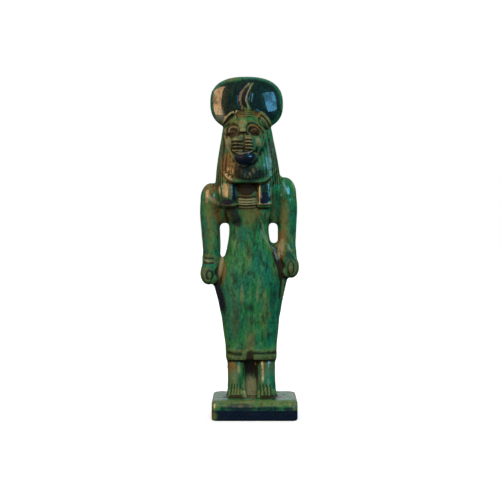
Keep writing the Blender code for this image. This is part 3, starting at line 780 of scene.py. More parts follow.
# Raised lines, thin-glazed along the top, and some painted highlights: path, width and height in the same
# way, and how light
rises = {
    "leftArch": ([(227.8, 132.4), (229.6, 128.6), (232.6, 127.1), (236.4, 128.0)], 0.7, 0.1, 0.7),
    "leftBall": ([(230.4, 132.6), (232.2, 131.4), (233.8, 132.0)], 0.8, 0.1, 0.4),
    "rightArch": ([(251.0, 130.8), (253.2, 129.4), (256.2, 129.4)], 0.7, 0.1, 0.5),
    "leftCheek": ([(224.8, 129), (225.4, 139), (228.6, 148), (231.6, 154)], 0.9, 0.15, 0.6),
    "rightCheek": ([(264.8, 131), (264.8, 139), (261.4, 147.6)], 0.8, 0.15, 0.35),
    # A painted highlight on the right cheek
    "cheek": ([(258.4, 139.2), (258.9, 142.6), (258.4, 145.6)], 1.3, 0.1, 0.7),
    "lip": (
        [(232.4, 150.2), (235.6, 152.4), (239.8, 153.6), (247, 153.0), (251.4, 151.4), (253.6, 149.4)],
        0.9, 0.3, 0.6,
    ),
    "jawLeft": ([(229.4, 149.5), (232, 155.5), (235.4, 161.4), (238.6, 164.6)], 0.9, 0.15, 0.6),
    "jawRight": ([(251.4, 163.4), (254.8, 159), (258, 152.6)], 0.9, 0.1, 0.4),
    "ruffFoot": (
        [(225.4, 174.6), (227.2, 177.8), (231, 180.2), (235, 182.6), (246, 183.4), (257, 183),
         (264, 181.8), (268.6, 177.6)],
        0.8, 0.25, 0.4,
    ),
    # A painted highlight on the left shoulder and a painted glint on the ruff's lower left rim
    "leftShoulder": ([(208.2, 195.6), (211.4, 199.2), (214.6, 201.6), (218, 203.4)], 2.0, 0.05, 1.0),
    "ruffGlint": ([(225.6, 174.8), (227.6, 177.6), (231, 179.8)], 1.2, 0.05, 0.9),
    "lappetLeft": ([(221.6, 204.8), (228, 205.2), (236.4, 204.6)], 0.8, 0.2, 0.8),
    "lappetDrop": ([(259.6, 186), (260.4, 192), (261.4, 197.4)], 0.9, 0.05, 0.7),
    "lappetRight": ([(256.4, 204), (263, 204.4), (271.6, 203.2)], 0.8, 0.2, 0.8),
    # The cobra's lobes: thin glaze and painted highlights
    "cobraOuter": (
        [(243.0, 108.5), (240.8, 103), (240.7, 98), (242.4, 92.2), (246.6, 86.2), (250.6, 83.2)],
        0.8, 0.35, 0.8,
    ),
    "cobraInner": (
        [(248.8, 107.5), (246.3, 102.5), (246.1, 98), (248.2, 92), (251.0, 86.4), (252.4, 83.4)],
        0.8, 0.35, 0.8,
    ),
    "leftEar": ([(222.4, 123.0), (226.2, 118.0), (230.4, 113.9), (233.4, 112.4)], 1.2, 0.1, 0.9),
    "rightEarOuter": ([(260.8, 114.0), (264.4, 116.4), (268.2, 120.8), (270.8, 125.6)], 0.7, 0.1, 0.9),
    "rightEarRim": ([(259.8, 116.0), (263.0, 119.2), (266.0, 123), (268.4, 128)], 0.9, 0.1, 0.6),
    # A painted highlight along the right side of the torso
    "ridgeRight": (
        [(261.5, 222), (264, 232), (267, 242), (271, 249), (275, 253.6), (279, 259)],
        1.3, 0.2, 0.5,
    ),
    "hemLight": ([(228, 359.8), (238, 360), (245, 359.8)], 0.7, 0.1, 0.6),
    "hemLightRight": ([(254, 359.6), (266, 359.8), (277, 359.0)], 0.7, 0.1, 0.6),
    "hemTopRight": ([(253.6, 351.6), (266, 352), (276.6, 351)], 0.7, 0.1, 0.5),
    # A painted highlight along the right hand
    "rightHand": ([(285.6, 243), (289.6, 248.4), (293.4, 254.6), (297.6, 262)], 0.9, 0.2, 0.5),
    "braceletBand": ([(205.2, 260.6), (209, 261), (212.6, 260.8)], 0.9, 0.15, 0.8),
    # The plinth's upper front edge lighter where it faces upward: painted highlight
    "plinthEdge": ([(211.6, 405.5), (230, 406.4), (262, 406.4), (296, 404.6)], 1.8, 0.0, 0.4),
}
# Thumbs, whiskers, ribs of the cobra and the collar, strands of hair, toes and lines in the right ear
for name, x, y, tall in (("leftThumb", 209.6, 275.2, 4.8), ("rightThumb", 290.6, 268, 6.8)):
    turn = np.linspace(-2.8, 2.8, 11)
    cuts[name] = (list(zip(x + 3.2 * np.sin(turn), y - tall * np.cos(turn))), 0.9, 0.5)
for row in range(4):
    y = 142.0 + 3.45 * row
    if row < 3:
        path = [(231.6, y + 0.5), (235, y - 0.1), (239, y), (242.4, y + 0.2)]
        cuts["leftWhisker%d" % row] = (path, 0.85, 0.6)
    rises["leftPad%d" % row] = ([(232.6, y - 1.6), (236, y - 1.9), (241.4, y - 1.7)], 0.7, 0.05, 0.5)
    y = 139.9 + 3.3 * row
    cuts["rightWhisker%d" % row] = ([(245.4, y), (248.8, y - 0.1), (251.8, y + 0.3)], 0.8, 0.6)
    rises["rightPad%d" % row] = ([(245.8, y - 1.7), (249, y - 1.8), (251.6, y - 1.5)], 0.7, 0.05, 0.7)
    y = 110.4 + 2.1 * row
    cuts["cobraRib%d" % row] = ([(243.6, y), (247.4, y + 0.4), (251.2, y)], 0.6, 0.3)
    y = 200.2 + 2.6 * row
    cuts["collarRib%d" % row] = ([(238.6, y), (247, y + 0.8), (256, y - 0.2)], 0.7, 0.3)
    rises["collarBand%d" % row] = ([(239.4, y - 1.2), (247, y - 0.5), (255.4, y - 1.4)], 0.8, 0.05, 0.9)
for strand in range(5):
    x, y, drift = 223.6 - 1.7 * strand, 138 + 7 * strand, 0.4 * strand
    cuts["leftStrand%d" % strand] = ([(x, y), (x - 1.2, 164), (x - 1.6 - drift, 186)], 0.55, 0.3)
    path = [(x - 0.8, y + 4), (x - 2.2, 166), (x - 2.6 - drift, 186)]
    rises["leftHair%d" % strand] = (path, 0.45, 0.05, 0.35)
    x, y, drift = 267.4 + 1.5 * strand, 132 + 6 * strand, 0.8 * strand
    cuts["rightStrand%d" % strand] = ([(x, y), (x + 2.8, 156), (x + 3.6 + drift, 184)], 0.55, 0.3)
    path = [(x + 0.8, y + 4), (x + 3.8, 158), (x + 4.8 + drift, 184)]
    rises["rightHair%d" % strand] = (path, 0.45, 0.05, 0.3)
for toe in range(4):
    x = 231.2 + 2.9 * toe
    cuts["leftToe%d" % toe] = ([(x + 0.6, 384.5), (x, 389), (x - 0.4, 393.6)], 0.6, 0.4)
    x = 260.2 + 3.6 * toe
    cuts["rightToe%d" % toe] = ([(x - 0.8, 385), (x, 390), (x + 0.3, 396)], 0.6, 0.4)
for line in range(3):
    x, y = 261.2 + 1.5 * line, 122.4 + 1.7 * line
    cuts["earLine%d" % line] = ([(x, y), (x + 1.6, y - 1.8)], 0.4, 0.1)

# The cuts go in along the normals, deepest where the skin faces the camera
points = readPoints(skinMesh)
normals = readNormals(skinMesh)
across, down = pictureOf(points)
facing = smoothStep(0.05, 0.5, -normals[:, 1])
cutDepth, cutDark, riseHeight, riseLight = (np.zeros(len(points)) for _ in range(4))
for path, width, depth in cuts.values():
    bell = stroke(across, down, path, width)
    cutDepth = np.maximum(cutDepth, depth * bell)
    # Darker the deeper the cut: pooled glaze and painted shade
    cutDark = np.maximum(cutDark, min(1, depth / 0.45) * bell)
for path, width, height, light in rises.values():
    bell = stroke(across, down, path, width)
    riseHeight = np.maximum(riseHeight, height * bell)
    riseLight = np.maximum(riseLight, light * bell)
writePoints(skinMesh, points - normals * ((cutDepth - riseHeight) * facing / 1000)[:, None])
points = glazeOver(skinMesh, skin["lastGlazing"])
cutDark, riseLight = cutDark * facing, riseLight * facing
print("cuts carved")

normals = readNormals(skinMesh)


def hollowness(rounds):
    # How far, in millimetres, the skin lies under its own smoothed shape: negative on an edge
    return ((eased(points, rounds) - points) * normals).sum(1) * 1000


nearHollow = hollowness(skin["nearRounds"])
middlingHollow = hollowness(skin["middlingRounds"])
wideHollow = hollowness(skin["wideRounds"])
print("hollows and edges measured")

# Figure coordinates in carving units
up = (points[:, 2] - figure["origin"][2]) / figure["unit"]
right = (points[:, 0] - figure["origin"][0]) / figure["unit"] - figure["lean"] * up
back = (points[:, 1] - figure["origin"][1]) / figure["unit"]

# Where the glaze lies navy, deep, teal, olive, brown, painted shade as in a hollow, pale (also painted
# highlights), plain (without the darkening of hollows), painted blue highlights or glossy. Each spot: middle
# across and down, radii across and down in the picture, the border's softness, tilt in degrees, strength
patches = {
    "navy": [
        (245.6, 158.6, 11.6, 7.8, 0.16, 0, 1),  # chin
        (227, 202.3, 6.5, 3, 0.3, 0, 0.9), (233.8, 194, 2.4, 9, 0.3, 0, 0.85),
        (264.5, 198, 6.4, 7, 0.3, 0, 0.95), (264, 188, 4.5, 5, 0.3, 0, 0.7),
        (220, 298, 4, 14, 0.7, -16, 1.3),  # under the left fist
        (240, 408, 18, 4, 0.4, 0, 0.75),  # pooled along the plinth's top edge
        (268, 409, 14, 2.6, 0.4, 0, 0.7), (288, 409.4, 6, 2.2, 0.4, 0, 0.7),
        (289.5, 256, 4, 7, 0.6, -30, 0.6),
        (243.5, 97, 6.5, 13, 0.3, 12, 0.7),  # round the cobra
        (270, 113, 5, 4, 0.4, -40, 0.6),
    ],
    "deep": [
        (252, 357, 27, 3.4, 0.5, 0, 0.45), (245, 167.4, 8, 3.4, 0.5, 0, 0.9), (250, 174, 15, 8, 0.4, 0, 1),
        (226, 207, 9, 2.5, 0.4, 0, 0.8), (236, 316, 3.5, 18, 0.5, 0, 0.5), (272, 300, 4, 12, 0.6, 0, 0.5),
        # (250, 371) darkens the top of the gap between the ankles: painted shade
        (250, 371, 4.5, 7, 0.4, 0, 0.7), (206, 243, 5, 22, 0.6, 0, 0.35), (240, 188, 4, 6, 0.4, 0, 0.8),
        (236.5, 145.5, 5.5, 7, 0.4, 0, 1.1), (250, 146, 3.5, 6, 0.4, 0, 0.8),
    ],
    "teal": [
        (264, 164, 8, 15, 0.4, 0, 1),  # the ruff's right side
        (240, 234, 9, 7, 0.5, -20, 0.7), (232, 312, 7, 30, 0.4, 0, 1), (262, 264, 9, 15, 0.5, 10, 0.9),
        (254, 270, 3, 9, 0.5, 0, 0.6), (263, 280, 5, 7, 0.5, 0, 0.7), (278, 302, 5, 20, 0.5, 8, 1),
        (243, 284, 5, 9, 0.6, 0, 0.4), (204, 240, 5, 24, 0.5, 0, 0.8), (292, 222, 5, 24, 0.5, 0, 0.6),
        (272, 334, 5, 16, 0.5, 0, 0.6), (268, 378, 5, 10, 0.5, 0, 0.5), (257, 143, 8, 9, 0.5, 0, 0.6),
        (273, 150, 4, 30, 0.5, 0, 0.6),
    ],
    "olive": [
        (243, 138, 19, 20, 0.3, 0, 0.8), (230, 118, 9, 8, 0.4, -30, 0.5), (264, 121, 7, 8, 0.4, 30, 0.6),
        (246, 203, 9, 9, 0.3, 0, 0.9), (233, 376, 6, 14, 0.5, 0, 0.7), (264, 380, 9, 12, 0.5, 0, 0.4),
        (249, 213, 10, 14, 0.9, 0, 1), (222, 212, 4, 12, 0.6, -8, 0.5), (274, 206, 4, 14, 0.6, 6, 0.5),
        (249, 252, 3.5, 13, 0.5, 0, 0.55), (268, 306, 6, 20, 0.6, 0, 0.5), (249, 322, 4, 18, 0.6, 0, 0.45),
        (284, 215, 5, 24, 0.6, 0, 0.8), (210, 214, 6, 18, 0.6, 0, 0.7), (235, 392, 8, 4, 0.5, 0, 0.6),
        (264, 392, 10, 5, 0.5, 0, 0.45), (250, 401, 42, 5, 0.5, 0, 0.45), (246.5, 96, 4.5, 11, 0.3, 12, 0.8),
        (247, 114, 4, 5, 0.4, 0, 0.8), (251, 342, 6, 12, 0.5, 0, 0.7), (205, 275, 6, 8, 0.5, 0, 0.5),
        (290, 266, 6, 8, 0.5, 0, 0.4),
    ],
    "brown": [
        (228, 168, 8, 17, 0.4, 0, 1), (237, 173, 5, 9, 0.5, 0, 0.8), (211, 190, 8, 7, 0.5, 0, 0.8),
        (246, 190, 9, 7, 0.4, 0, 1), (217, 210, 3.5, 18, 0.5, -8, 0.85), (222, 268, 4, 14, 0.8, 0, 0.8),
        (281, 248, 5, 22, 0.5, 6, 0.9), (276, 212, 3, 16, 0.5, 0, 0.35), (250.3, 342, 1.1, 14, 0.7, 0, 0.8),
        (270, 310, 4, 14, 0.6, 0, 0.35), (231, 131.5, 6, 6.5, 0.3, 20, 1), (254.5, 130, 7, 6, 0.3, 15, 1),
        (227.5, 120, 7, 3, 0.4, -45, 0.9), (257, 114, 7, 4, 0.4, 10, 0.8), (240, 115, 6, 4, 0.4, 10, 0.8),
        (244.5, 150.4, 3, 2.4, 0.4, 0, 0.9), (241.4, 123.4, 2.6, 1.7, 0.5, 0, 0.8),
        (226.6, 142, 2, 8, 0.4, 0, 0.6), (231.5, 366, 3.5, 6, 0.5, 0, 0.9), (212, 416, 4, 5, 0.5, 0, 0.6),
        (227, 191, 5, 9, 0.4, 0, 0.9), (259, 190, 2.5, 9, 0.4, 0, 0.6), (236, 84, 8, 4, 0.6, -20, 0.3),
    ],
    "shade": [
        (246, 190, 8.5, 6, 0.4, 0, 1), (218, 212, 1.6, 13, 0.6, -8, 0.7), (275.5, 212, 1.8, 12, 0.6, 6, 0.4),
        (218, 188, 2.5, 9, 0.5, 10, 0.6), (231.4, 131.8, 6, 6, 0.5, 20, 0.7),
        (231.4, 132.4, 3.2, 2.8, 0.4, 0, 1), (227.6, 134.5, 2, 4, 0.5, 0, 0.7),
        (254.8, 131.4, 4, 3, 0.5, 15, 0.9), (248.5, 366, 4.5, 8, 0.5, 0, 0.9),
        (249.8, 357, 3.6, 8, 0.5, 0, 1), (238, 171, 4, 9, 0.5, 0, 0.7), (257, 187, 2, 6, 0.5, 0, 0.6),
        (270, 192, 2.5, 9, 0.5, 0, 0.5), (240, 113, 5, 3, 0.5, 10, 0.5), (256, 112, 5, 3, 0.5, 10, 0.5),
        (236, 209, 8, 3, 0.5, 10, 0.4),
    ],
    # Pale is thin glaze, and painted highlights at the left lappet (226.6, 190), the right web (281, 248),
    # the cheeks (258.6, 142) and (228.4, 144) and the left ankle (238.6, 369)
    "pale": [
        (250, 389, 7, 13, 0.8, 0, 0.9), (226.6, 190, 3.4, 6, 0.5, 10, 0.6), (281, 248, 2.8, 10, 0.5, 10, 1),
        (221.5, 264, 2.6, 14, 0.6, 8, 0.75), (241.4, 124, 6, 5, 0.5, 0, 0.45),
        (242.5, 129.4, 4, 2.8, 0.5, 0, 0.5), (235.4, 139.6, 3, 1.2, 0.4, 0, 0.6),
        (242, 295, 2.2, 12, 0.5, 0, 0.45), (258, 291, 1.6, 14, 0.5, 3, 0.5), (247, 268, 1.6, 9, 0.5, 0, 0.3),
        (235, 244, 2, 8, 0.6, 0, 0.3), (238.6, 369, 1.4, 4.5, 0.4, 0, 1), (238, 384, 3, 7, 0.5, 0, 0.15),
        (258.6, 142, 3.4, 5, 0.5, 0, 0.6), (228.4, 144, 2.8, 7, 0.5, 0, 0.9),
        (262, 134, 2.5, 5, 0.5, 0, 0.35),
    ],
    "plain": [
        (240, 347, 16, 5, 0.4, 0, 0.9),  # above the hem
        (264, 347, 16, 5, 0.4, 0, 0.9), (250.5, 336, 4, 14, 0.4, 0, 0.7),
        (264, 121, 5, 6, 0.5, 40, 0.6),  # inside the right ear
        (219, 208, 6, 17, 0.4, -8, 0.7),  # in the armpits
        (276, 207, 6, 20, 0.4, 6, 0.75),
    ],
    # Painted blue highlights, reflections of the blue light: ankles, the ruff's right edge, the right
    # shoulder, ridges
    "blueHighlight": [
        (234, 375, 5, 12, 0.7, 0, 0.3),  # ankles
        (264, 374, 8, 12, 0.7, 0, 0.3),
        (269.6, 165, 1.5, 12, 0.6, -4, 1),  # the ruff's right edge
        (264.4, 165.2, 1.6, 2.4, 0.5, 0, 0.6),
        (286, 188.6, 1.6, 8, 0.5, -26, 0.8),  # right shoulder
        (292, 198, 1.3, 6, 0.5, -10, 0.4), (270.2, 192, 1, 6, 0.5, 8, 0.7), (235.6, 192, 1, 6, 0.5, -4, 0.5),
        (289.6, 248.6, 1, 6, 0.5, -32, 0.6), (263, 235, 1.2, 8, 0.6, -25, 0.6),
        (272.5, 247.5, 1.2, 6, 0.6, -50, 0.6),
    ],
    "gloss": [
        (251, 157.5, 6, 6, 0.25, 0, 1), (245, 161, 8, 3.6, 0.3, 0, 0.9), (229, 173, 4.5, 6, 0.4, 0, 0.8),
        (269, 162, 4, 17, 0.4, 0, 1), (252, 174, 10, 8, 0.4, 0, 0.3), (228, 190, 9, 7.5, 0.25, 0, 1),
        (264, 194, 9, 12, 0.3, 0, 1), (212, 197, 8, 8, 0.4, 0, 1), (287, 190, 8, 12, 0.4, 0, 1),
        (239, 369, 3, 7, 0.5, 0, 1), (252, 365, 4, 6, 0.5, 0, 0.8), (266, 371, 10, 10, 0.5, 0, 1),
        (250, 405, 46, 8, 0.2, 0, 1), (272, 252, 6, 9, 0.4, -30, 0.9), (247, 96, 8, 14, 0.3, 0, 0.8),
        (244, 140, 14, 10, 0.4, 0, 0.25),
    ],
}
# Where each thing on the skin begins and where it is full
limits = {
    "facing": (0.0, 0.45),  # how far a face looks to the front
    "nearHollow": (0.0, 0.06),  # millimetres
    "middlingHollow": (0.04, 0.22),
    "edge": (0.01, 0.08),
    "poolAndShade": (0.08, 0.7),
    "discInside": (0.90, 0.96),  # of the lens's radii
    "discOutside": (1.06, 1.12),
    "discRim": (0.82, 0.98),
    "discTop": (7, 14),  # carving units above the disc's middle
    "aboveHead": (142, 147),  # carving units
    "plinthUpwards": (0.6, 0.9),  # how far a face looks up
    "plinthTop": (0.0110, 0.0116),  # metres
    "plinthLow": (0.0051, 0.0060),
}
across, down = pictureOf(points)
facing = smoothStep(*limits["facing"], -normals[:, 1])
laid = {name: np.zeros(len(points)) for name in patches}


def lay(name, values):
    # Laid over what is there: the stronger counts
    laid[name] = np.maximum(laid[name], values)


for name, spots in patches.items():
    for x, y, wide, tall, soft, tilt, strength in spots:
        lay(name, strength * blob(across, down, (x, y), (wide, tall), soft, tilt) * facing)

# A dark band that runs down from under the left lappet
underLappetBand = stroke(across, down, [(227, 203), (230.6, 209), (234.6, 216), (237.4, 222)], 5.6) * facing
lay("deep", 1.1 * underLappetBand)
lay("navy", 0.35 * underLappetBand)
laid["brown"] *= 1 - underLappetBand

# The disc all round, by its own lens: near its surface and above the head
squareRound = disc["squareness"]
lensX, lensY, lensZ = (np.abs(v - c) / r for v, c, r in zip((right, back, up), disc["centre"], disc["radii"]))
inLens = np.sqrt((lensX**squareRound + lensZ**squareRound) ** (2 / squareRound) + lensY**2)
onDisc = smoothStep(*limits["discInside"], inLens) * (1 - smoothStep(*limits["discOutside"], inLens))
onDisc *= smoothStep(*limits["aboveHead"], up)
lay("gloss", onDisc)
for name in ("olive", "brown", "shade", "pale", "teal"):
    laid[name] *= 1 - onDisc
besideCobra = stroke(across, down, [(245, 110), (242, 100), (243.4, 93), (249, 85)], 5.0)
laid["gloss"] *= 1 - 0.8 * besideCobra * facing
# Rust and pale blue on the disc's lower left, below the warm light's reflection: a painted warm reflection
discWarmReflection = blob(across, down, (219, 115), (5.5, 11), 0.5, -22) * facing
# The disc's top in lighter olive: olive glaze and painted top light
discTop = onDisc * smoothStep(*limits["discTop"], up - disc["centre"][2])
discTop *= 0.25 + 0.75 * blob(across, down, (230, 81), (13, 6), 0.6)
fromMiddle = (lensX**squareRound + lensZ**squareRound) ** (1 / squareRound)
discRim = onDisc * smoothStep(*limits["discRim"], fromMiddle)
lay("olive", 1.2 * discTop)
laid["brown"] *= 1 - 0.8 * laid["deep"]
# The painted warm reflection on the disc's lower left
lay("brown", onDisc * discWarmReflection)
lay("blueHighlight", 0.45 * onDisc * discWarmReflection)
lay("deep", onDisc * (1 - 0.4 * discTop - 0.85 * discRim))
lay("teal", discRim)
# The plinth's top, and the dark lower part of its sides with one brown place
height = points[:, 2]
lookingUp = smoothStep(*limits["plinthUpwards"], normals[:, 2])
lay("gloss", lookingUp * (1 - smoothStep(*limits["plinthTop"], height)))
low = 1 - smoothStep(*limits["plinthLow"], height)
low = low * (1 - 0.7 * blob(across, down, (212, 417), (5, 6), 0.5) * facing)
lay("navy", low)
lay("gloss", low)


def keep(mesh, name, values):
    # A number for each vertex, which the material reads by its name
    layer = mesh.attributes.new(name, "FLOAT", "POINT")
    layer.data.foreach_set("value", values.astype(np.float32))


# Hollows are dark and cuts darker still, both pooled glaze and painted shade, and the shade patches add
# painted shade, but not on the disc, under pale touches or in plain places
nearby = spread(nearHollow, 1)
inHollow = smoothStep(*limits["nearHollow"], nearby)
inHollow = np.maximum(inHollow, smoothStep(*limits["middlingHollow"], middlingHollow))
inHollow = np.maximum(np.maximum(inHollow * (1 - 0.6 * laid["deep"]), cutDark), laid.pop("shade"))
clear = (1 - onDisc) * (1 - 0.85 * laid["pale"]) * (1 - laid.pop("plain"))
keep(skinMesh, "hollowAndShade", inHollow * clear)
keep(skinMesh, "edge", smoothStep(*limits["edge"], -nearby) * (1 - onDisc))
# The raised lines' lightness: thin glaze, and painted highlights on some
lay("pale", riseLight)
# Brown in wide hollows: pooled glaze and painted shade
keep(skinMesh, "poolAndShade", smoothStep(*limits["poolAndShade"], spread(wideHollow, 3)) * clear)
for name, values in laid.items():
    keep(skinMesh, name, values)

skinMesh.polygons.foreach_set("use_smooth", np.ones(len(skinMesh.polygons), bool))


class Socket:
    # A shader value: arithmetic on it adds Math nodes
    def __init__(self, graph, output):
        self.graph = graph
        self.output = output

    def math(self, operation, *values):
        return self.graph.add("Math", {"operation": operation}, dict(enumerate((self,) + values)))

    def __add__(self, other):
        return self.math("ADD", other)

    __radd__ = __add__

    def __sub__(self, other):
        return self.math("SUBTRACT", other)

    def __rsub__(self, other):
        return self.graph.add("Math", {"operation": "SUBTRACT"}, {0: other, 1: self})

    def __mul__(self, other):
        return self.math("MULTIPLY", other)

    __rmul__ = __mul__

    def between(self, low, high):
        # 0 at low, 1 at high, eased at both ends
        return self.graph.add("MapRange", {"interpolation_type": "SMOOTHSTEP"}, {0: self, 1: low, 2: high})


class Graph:
    # The nodes of a material or a world
    def __init__(self, owner):
        owner.use_nodes = True
        self.nodes = owner.node_tree.nodes
        self.links = owner.node_tree.links
        self.place = None  # the coordinates that its noises read

    def add(self, kind, settings, values, out=0):
        # Settings come first, because some change which sockets the node has
        node = self.nodes.new("ShaderNode" + kind)
        for key, value in settings.items():
            setattr(node, key, value)
        self.feed(node, values)
        return Socket(self, node.outputs[out])

    def feed(self, node, values):
        for key, value in values.items():
            if isinstance(value, Socket):
                self.links.new(value.output, node.inputs[key])
            else:
                node.inputs[key].default_value = value

    def attribute(self, name):
        return self.add("Attribute", {"attribute_name": name}, {}, "Fac")

    def blend(self, share, low, high):
        colours = {6: low, 7: high}
        for key, value in colours.items():
            if not isinstance(value, Socket):
                colours[key] = (*value, 1)
        return self.add("Mix", {"data_type": "RGBA"}, {0: share, **colours}, 2)

    def noise(self, scale, detail, roughness, stretch=(1, 1, 1), shift=(0, 0, 0)):
        place = self.add("Mapping", {}, {"Vector": self.place, "Scale": stretch, "Location": shift})
        values = {"Vector": place, "Scale": scale, "Detail": detail, "Roughness": roughness}
        return self.add("TexNoise", {}, values, "Fac")

    def show(self, forCamera, forRest, end):
        # One shader where the camera looks straight at it, another for the light that bounces
        direct = self.add("LightPath", {}, {}, "Is Camera Ray")
        pick = self.add("MixShader", {}, {0: direct, 1: forRest, 2: forCamera})
        self.feed(self.nodes[end], {"Surface": pick})


# The glaze's colours where it is thin, thick or stained, and the pale and pale blue of painted highlights
glaze = {
    "emerald": (0.011, 0.165, 0.050),
    "teal": (0.006, 0.140, 0.082),
    "sage": (0.075, 0.26, 0.088),
    "leaf": (0.032, 0.27, 0.080),
    "grass": (0.036, 0.175, 0.034),
    "dark": (0.004, 0.034, 0.018),
    "olive": (0.165, 0.145, 0.038),
    "pale": (0.34, 0.30, 0.15),
    "blueHighlight": (0.14, 0.36, 0.34),
    "rust": (0.24, 0.100, 0.022),
    "brown": (0.022, 0.012, 0.005),
    "deep": (0.003, 0.014, 0.014),
    "navy": (0.003, 0.008, 0.024),
}


def glazeMaterial():
    # Each colour lies over the ones before it by its share, whose border the noises make ragged
    material = bpy.data.materials.new("greenGlaze")
    g = Graph(material)
    g.place = g.add("TexCoord", {}, {}, "Object")
    names = ("hollowAndShade", "edge", "poolAndShade", "navy", "deep", "teal", "olive", "brown", "pale", "blueHighlight", "gloss")
    hollowAndShade, edge, poolAndShade, navy, deep, teal, olive, brown, pale, blueHighlight, gloss = map(g.attribute, names)
    broad = g.noise(130, 4, 0.6, (1, 1, 0.5))
    run = g.noise(360, 5, 0.68, (1, 1, 0.32), (0.7, 0.4, 0.2))
    drip = g.noise(400, 5, 0.70, (1, 1, 0.36), (0.2, 0.9, 0.5))
    fine = g.noise(1100, 4, 0.7, (1, 1, 0.7), (0.3, 0.1, 0.7))
    ragged = (run - 0.5) * 1.6 + (fine - 0.5) * 1.2
    murky = g.blend(run.between(0.5, 0.62) * 0.7, glaze["deep"], glaze["dark"])
    murky = g.blend(fine.between(0.52, 0.66) * 0.3, murky, glaze["emerald"])
    stained = brown + poolAndShade * 0.4 - teal * 0.3 + ragged
    layers = (
        ((broad * 0.5 + fine * 0.5).between(0.5, 0.62) * (0.7 - teal * 0.6), glaze["grass"]),
        (run.between(0.46, 0.66) * (1 - teal * 0.5) * 0.95, glaze["sage"]),
        (fine.between(0.47, 0.38) * (1 - teal * 0.5) * 0.6, glaze["leaf"]),
        (drip.between(0.47, 0.66) * 0.95, glaze["dark"]),
        ((deep + ragged * 0.4).between(0.1, 0.9), murky),
        ((olive - deep * 0.6 - teal * 0.5 + ragged).between(0.1, 1.0) * 0.75, glaze["olive"]),
        ((edge + ragged * 0.5).between(0.1, 1.0) * 0.45, glaze["olive"]),
        (stained.between(0.25, 0.9) * 0.8, glaze["rust"]),
        # Brown in wide hollows: pooled glaze and painted shade
        ((poolAndShade + ragged * 0.5).between(0.3, 0.9) * 0.8, glaze["brown"]),
        # Brown in hollows, cuts and shade patches: pooled glaze and painted shade
        ((hollowAndShade + ragged * 0.2).between(0.1, 0.8) * 0.95, glaze["brown"]),
        ((navy + ragged * 0.3).between(0.1, 0.9), glaze["navy"]),
        # Pale: thin glaze, and painted highlights
        ((pale + ragged * 0.5).between(0.1, 0.9) * 0.85, glaze["pale"]),
        # Painted blue highlights
        ((blueHighlight + ragged * 0.4).between(0.15, 0.9) * 0.85, glaze["blueHighlight"]),
        (fine.between(0.53, 0.62) * 0.5, glaze["dark"]),
    )
    colour = g.blend((broad - teal * 0.3).between(0.38, 0.56), glaze["teal"], glaze["emerald"])
    for share, over in layers:
        colour = g.blend(share, colour, over)
    # The surface waves a little, and shines where the glaze is thick and wet
    wave = g.noise(260, 4, 0.6) + g.noise(90, 2, 0.5, (1, 1, 1), (0.4, 0.6, 0.1)) * 2.5
    grain = g.noise(1300, 3, 0.6, (1, 1, 0.7))
    wet = g.noise(230, 5, 0.7, (1, 1, 0.8), (0.8, 0.2, 0.4)).between(0.38, 0.56)
    sheen = (gloss + ragged * 0.3).between(0.1, 0.8) * (0.35 + wet * 0.65)
    relief = wave + grain * (0.3 - sheen * 0.25)
    bump = g.add("Bump", {}, {"Height": relief, "Strength": 0.5, "Distance": 0.0007}, "Normal")
    roughness = 0.6 - sheen * 0.3 + (grain - 0.5) * 0.1
    skinShader = g.nodes["Principled BSDF"]
    g.feed(skinShader, {"Base Color": colour, "Normal": bump, "Roughness": roughness, "Coat Weight": sheen})
    g.feed(skinShader, {"Specular IOR Level": 0.1, "Coat Roughness": 0.05, "Coat IOR": 1.5})
    return material


skinMesh.materials.clear()
skinMesh.materials.append(glazeMaterial())
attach(figurePiece, "root")
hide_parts("lion_headed_figure")
print("figure: glazed piece made")


studio = {
    "topSun": {"from": (-0.10, -0.15, 1.0), "softness": 110, "colour": (1, 1, 1), "power": 1.0},
    "frontSun": {"from": (0.02, -1.0, 0.50), "softness": 80, "colour": (1, 1, 1), "power": 2.0},
    "backSun": {"from": (0.25, 1.0, 0.45), "softness": 60, "colour": (1, 1, 1), "power": 0.9},
    "warmSun": {"from": (-1.0, -0.55, 0.35), "softness": 60, "colour": (1.0, 0.60, 0.30), "power": 0.5},
    "coolSun": {"from": (1.0, -0.50, 0.45), "softness": 60, "colour": (0.30, 0.95, 0.80), "power": 0.6},
    "warmPanel": {
        "from": (-0.37, -0.28, 0.25), "size": (0.31, 0.58), "roll": 7,
        "colour": (1.0, 0.56, 0.27), "power": 5.6,
    },
    "bluePanel": {
        "from": (0.445, -0.685, 0.31), "size": (0.37, 0.45), "roll": 14,
        "colour": (0.16, 0.60, 1.0), "power": 4.5,
    },
    "aim": (0.0, 0.0, 0.11),
    "floorGlow": 0.40,
    "backdrop": (1.0, 1.0, 1.0),
    "roomFront": (0.03, 0.035, 0.04),  # what the glaze mirrors on the camera's side
    "roomBack": (0.40, 0.41, 0.43),  # and behind the figure
}


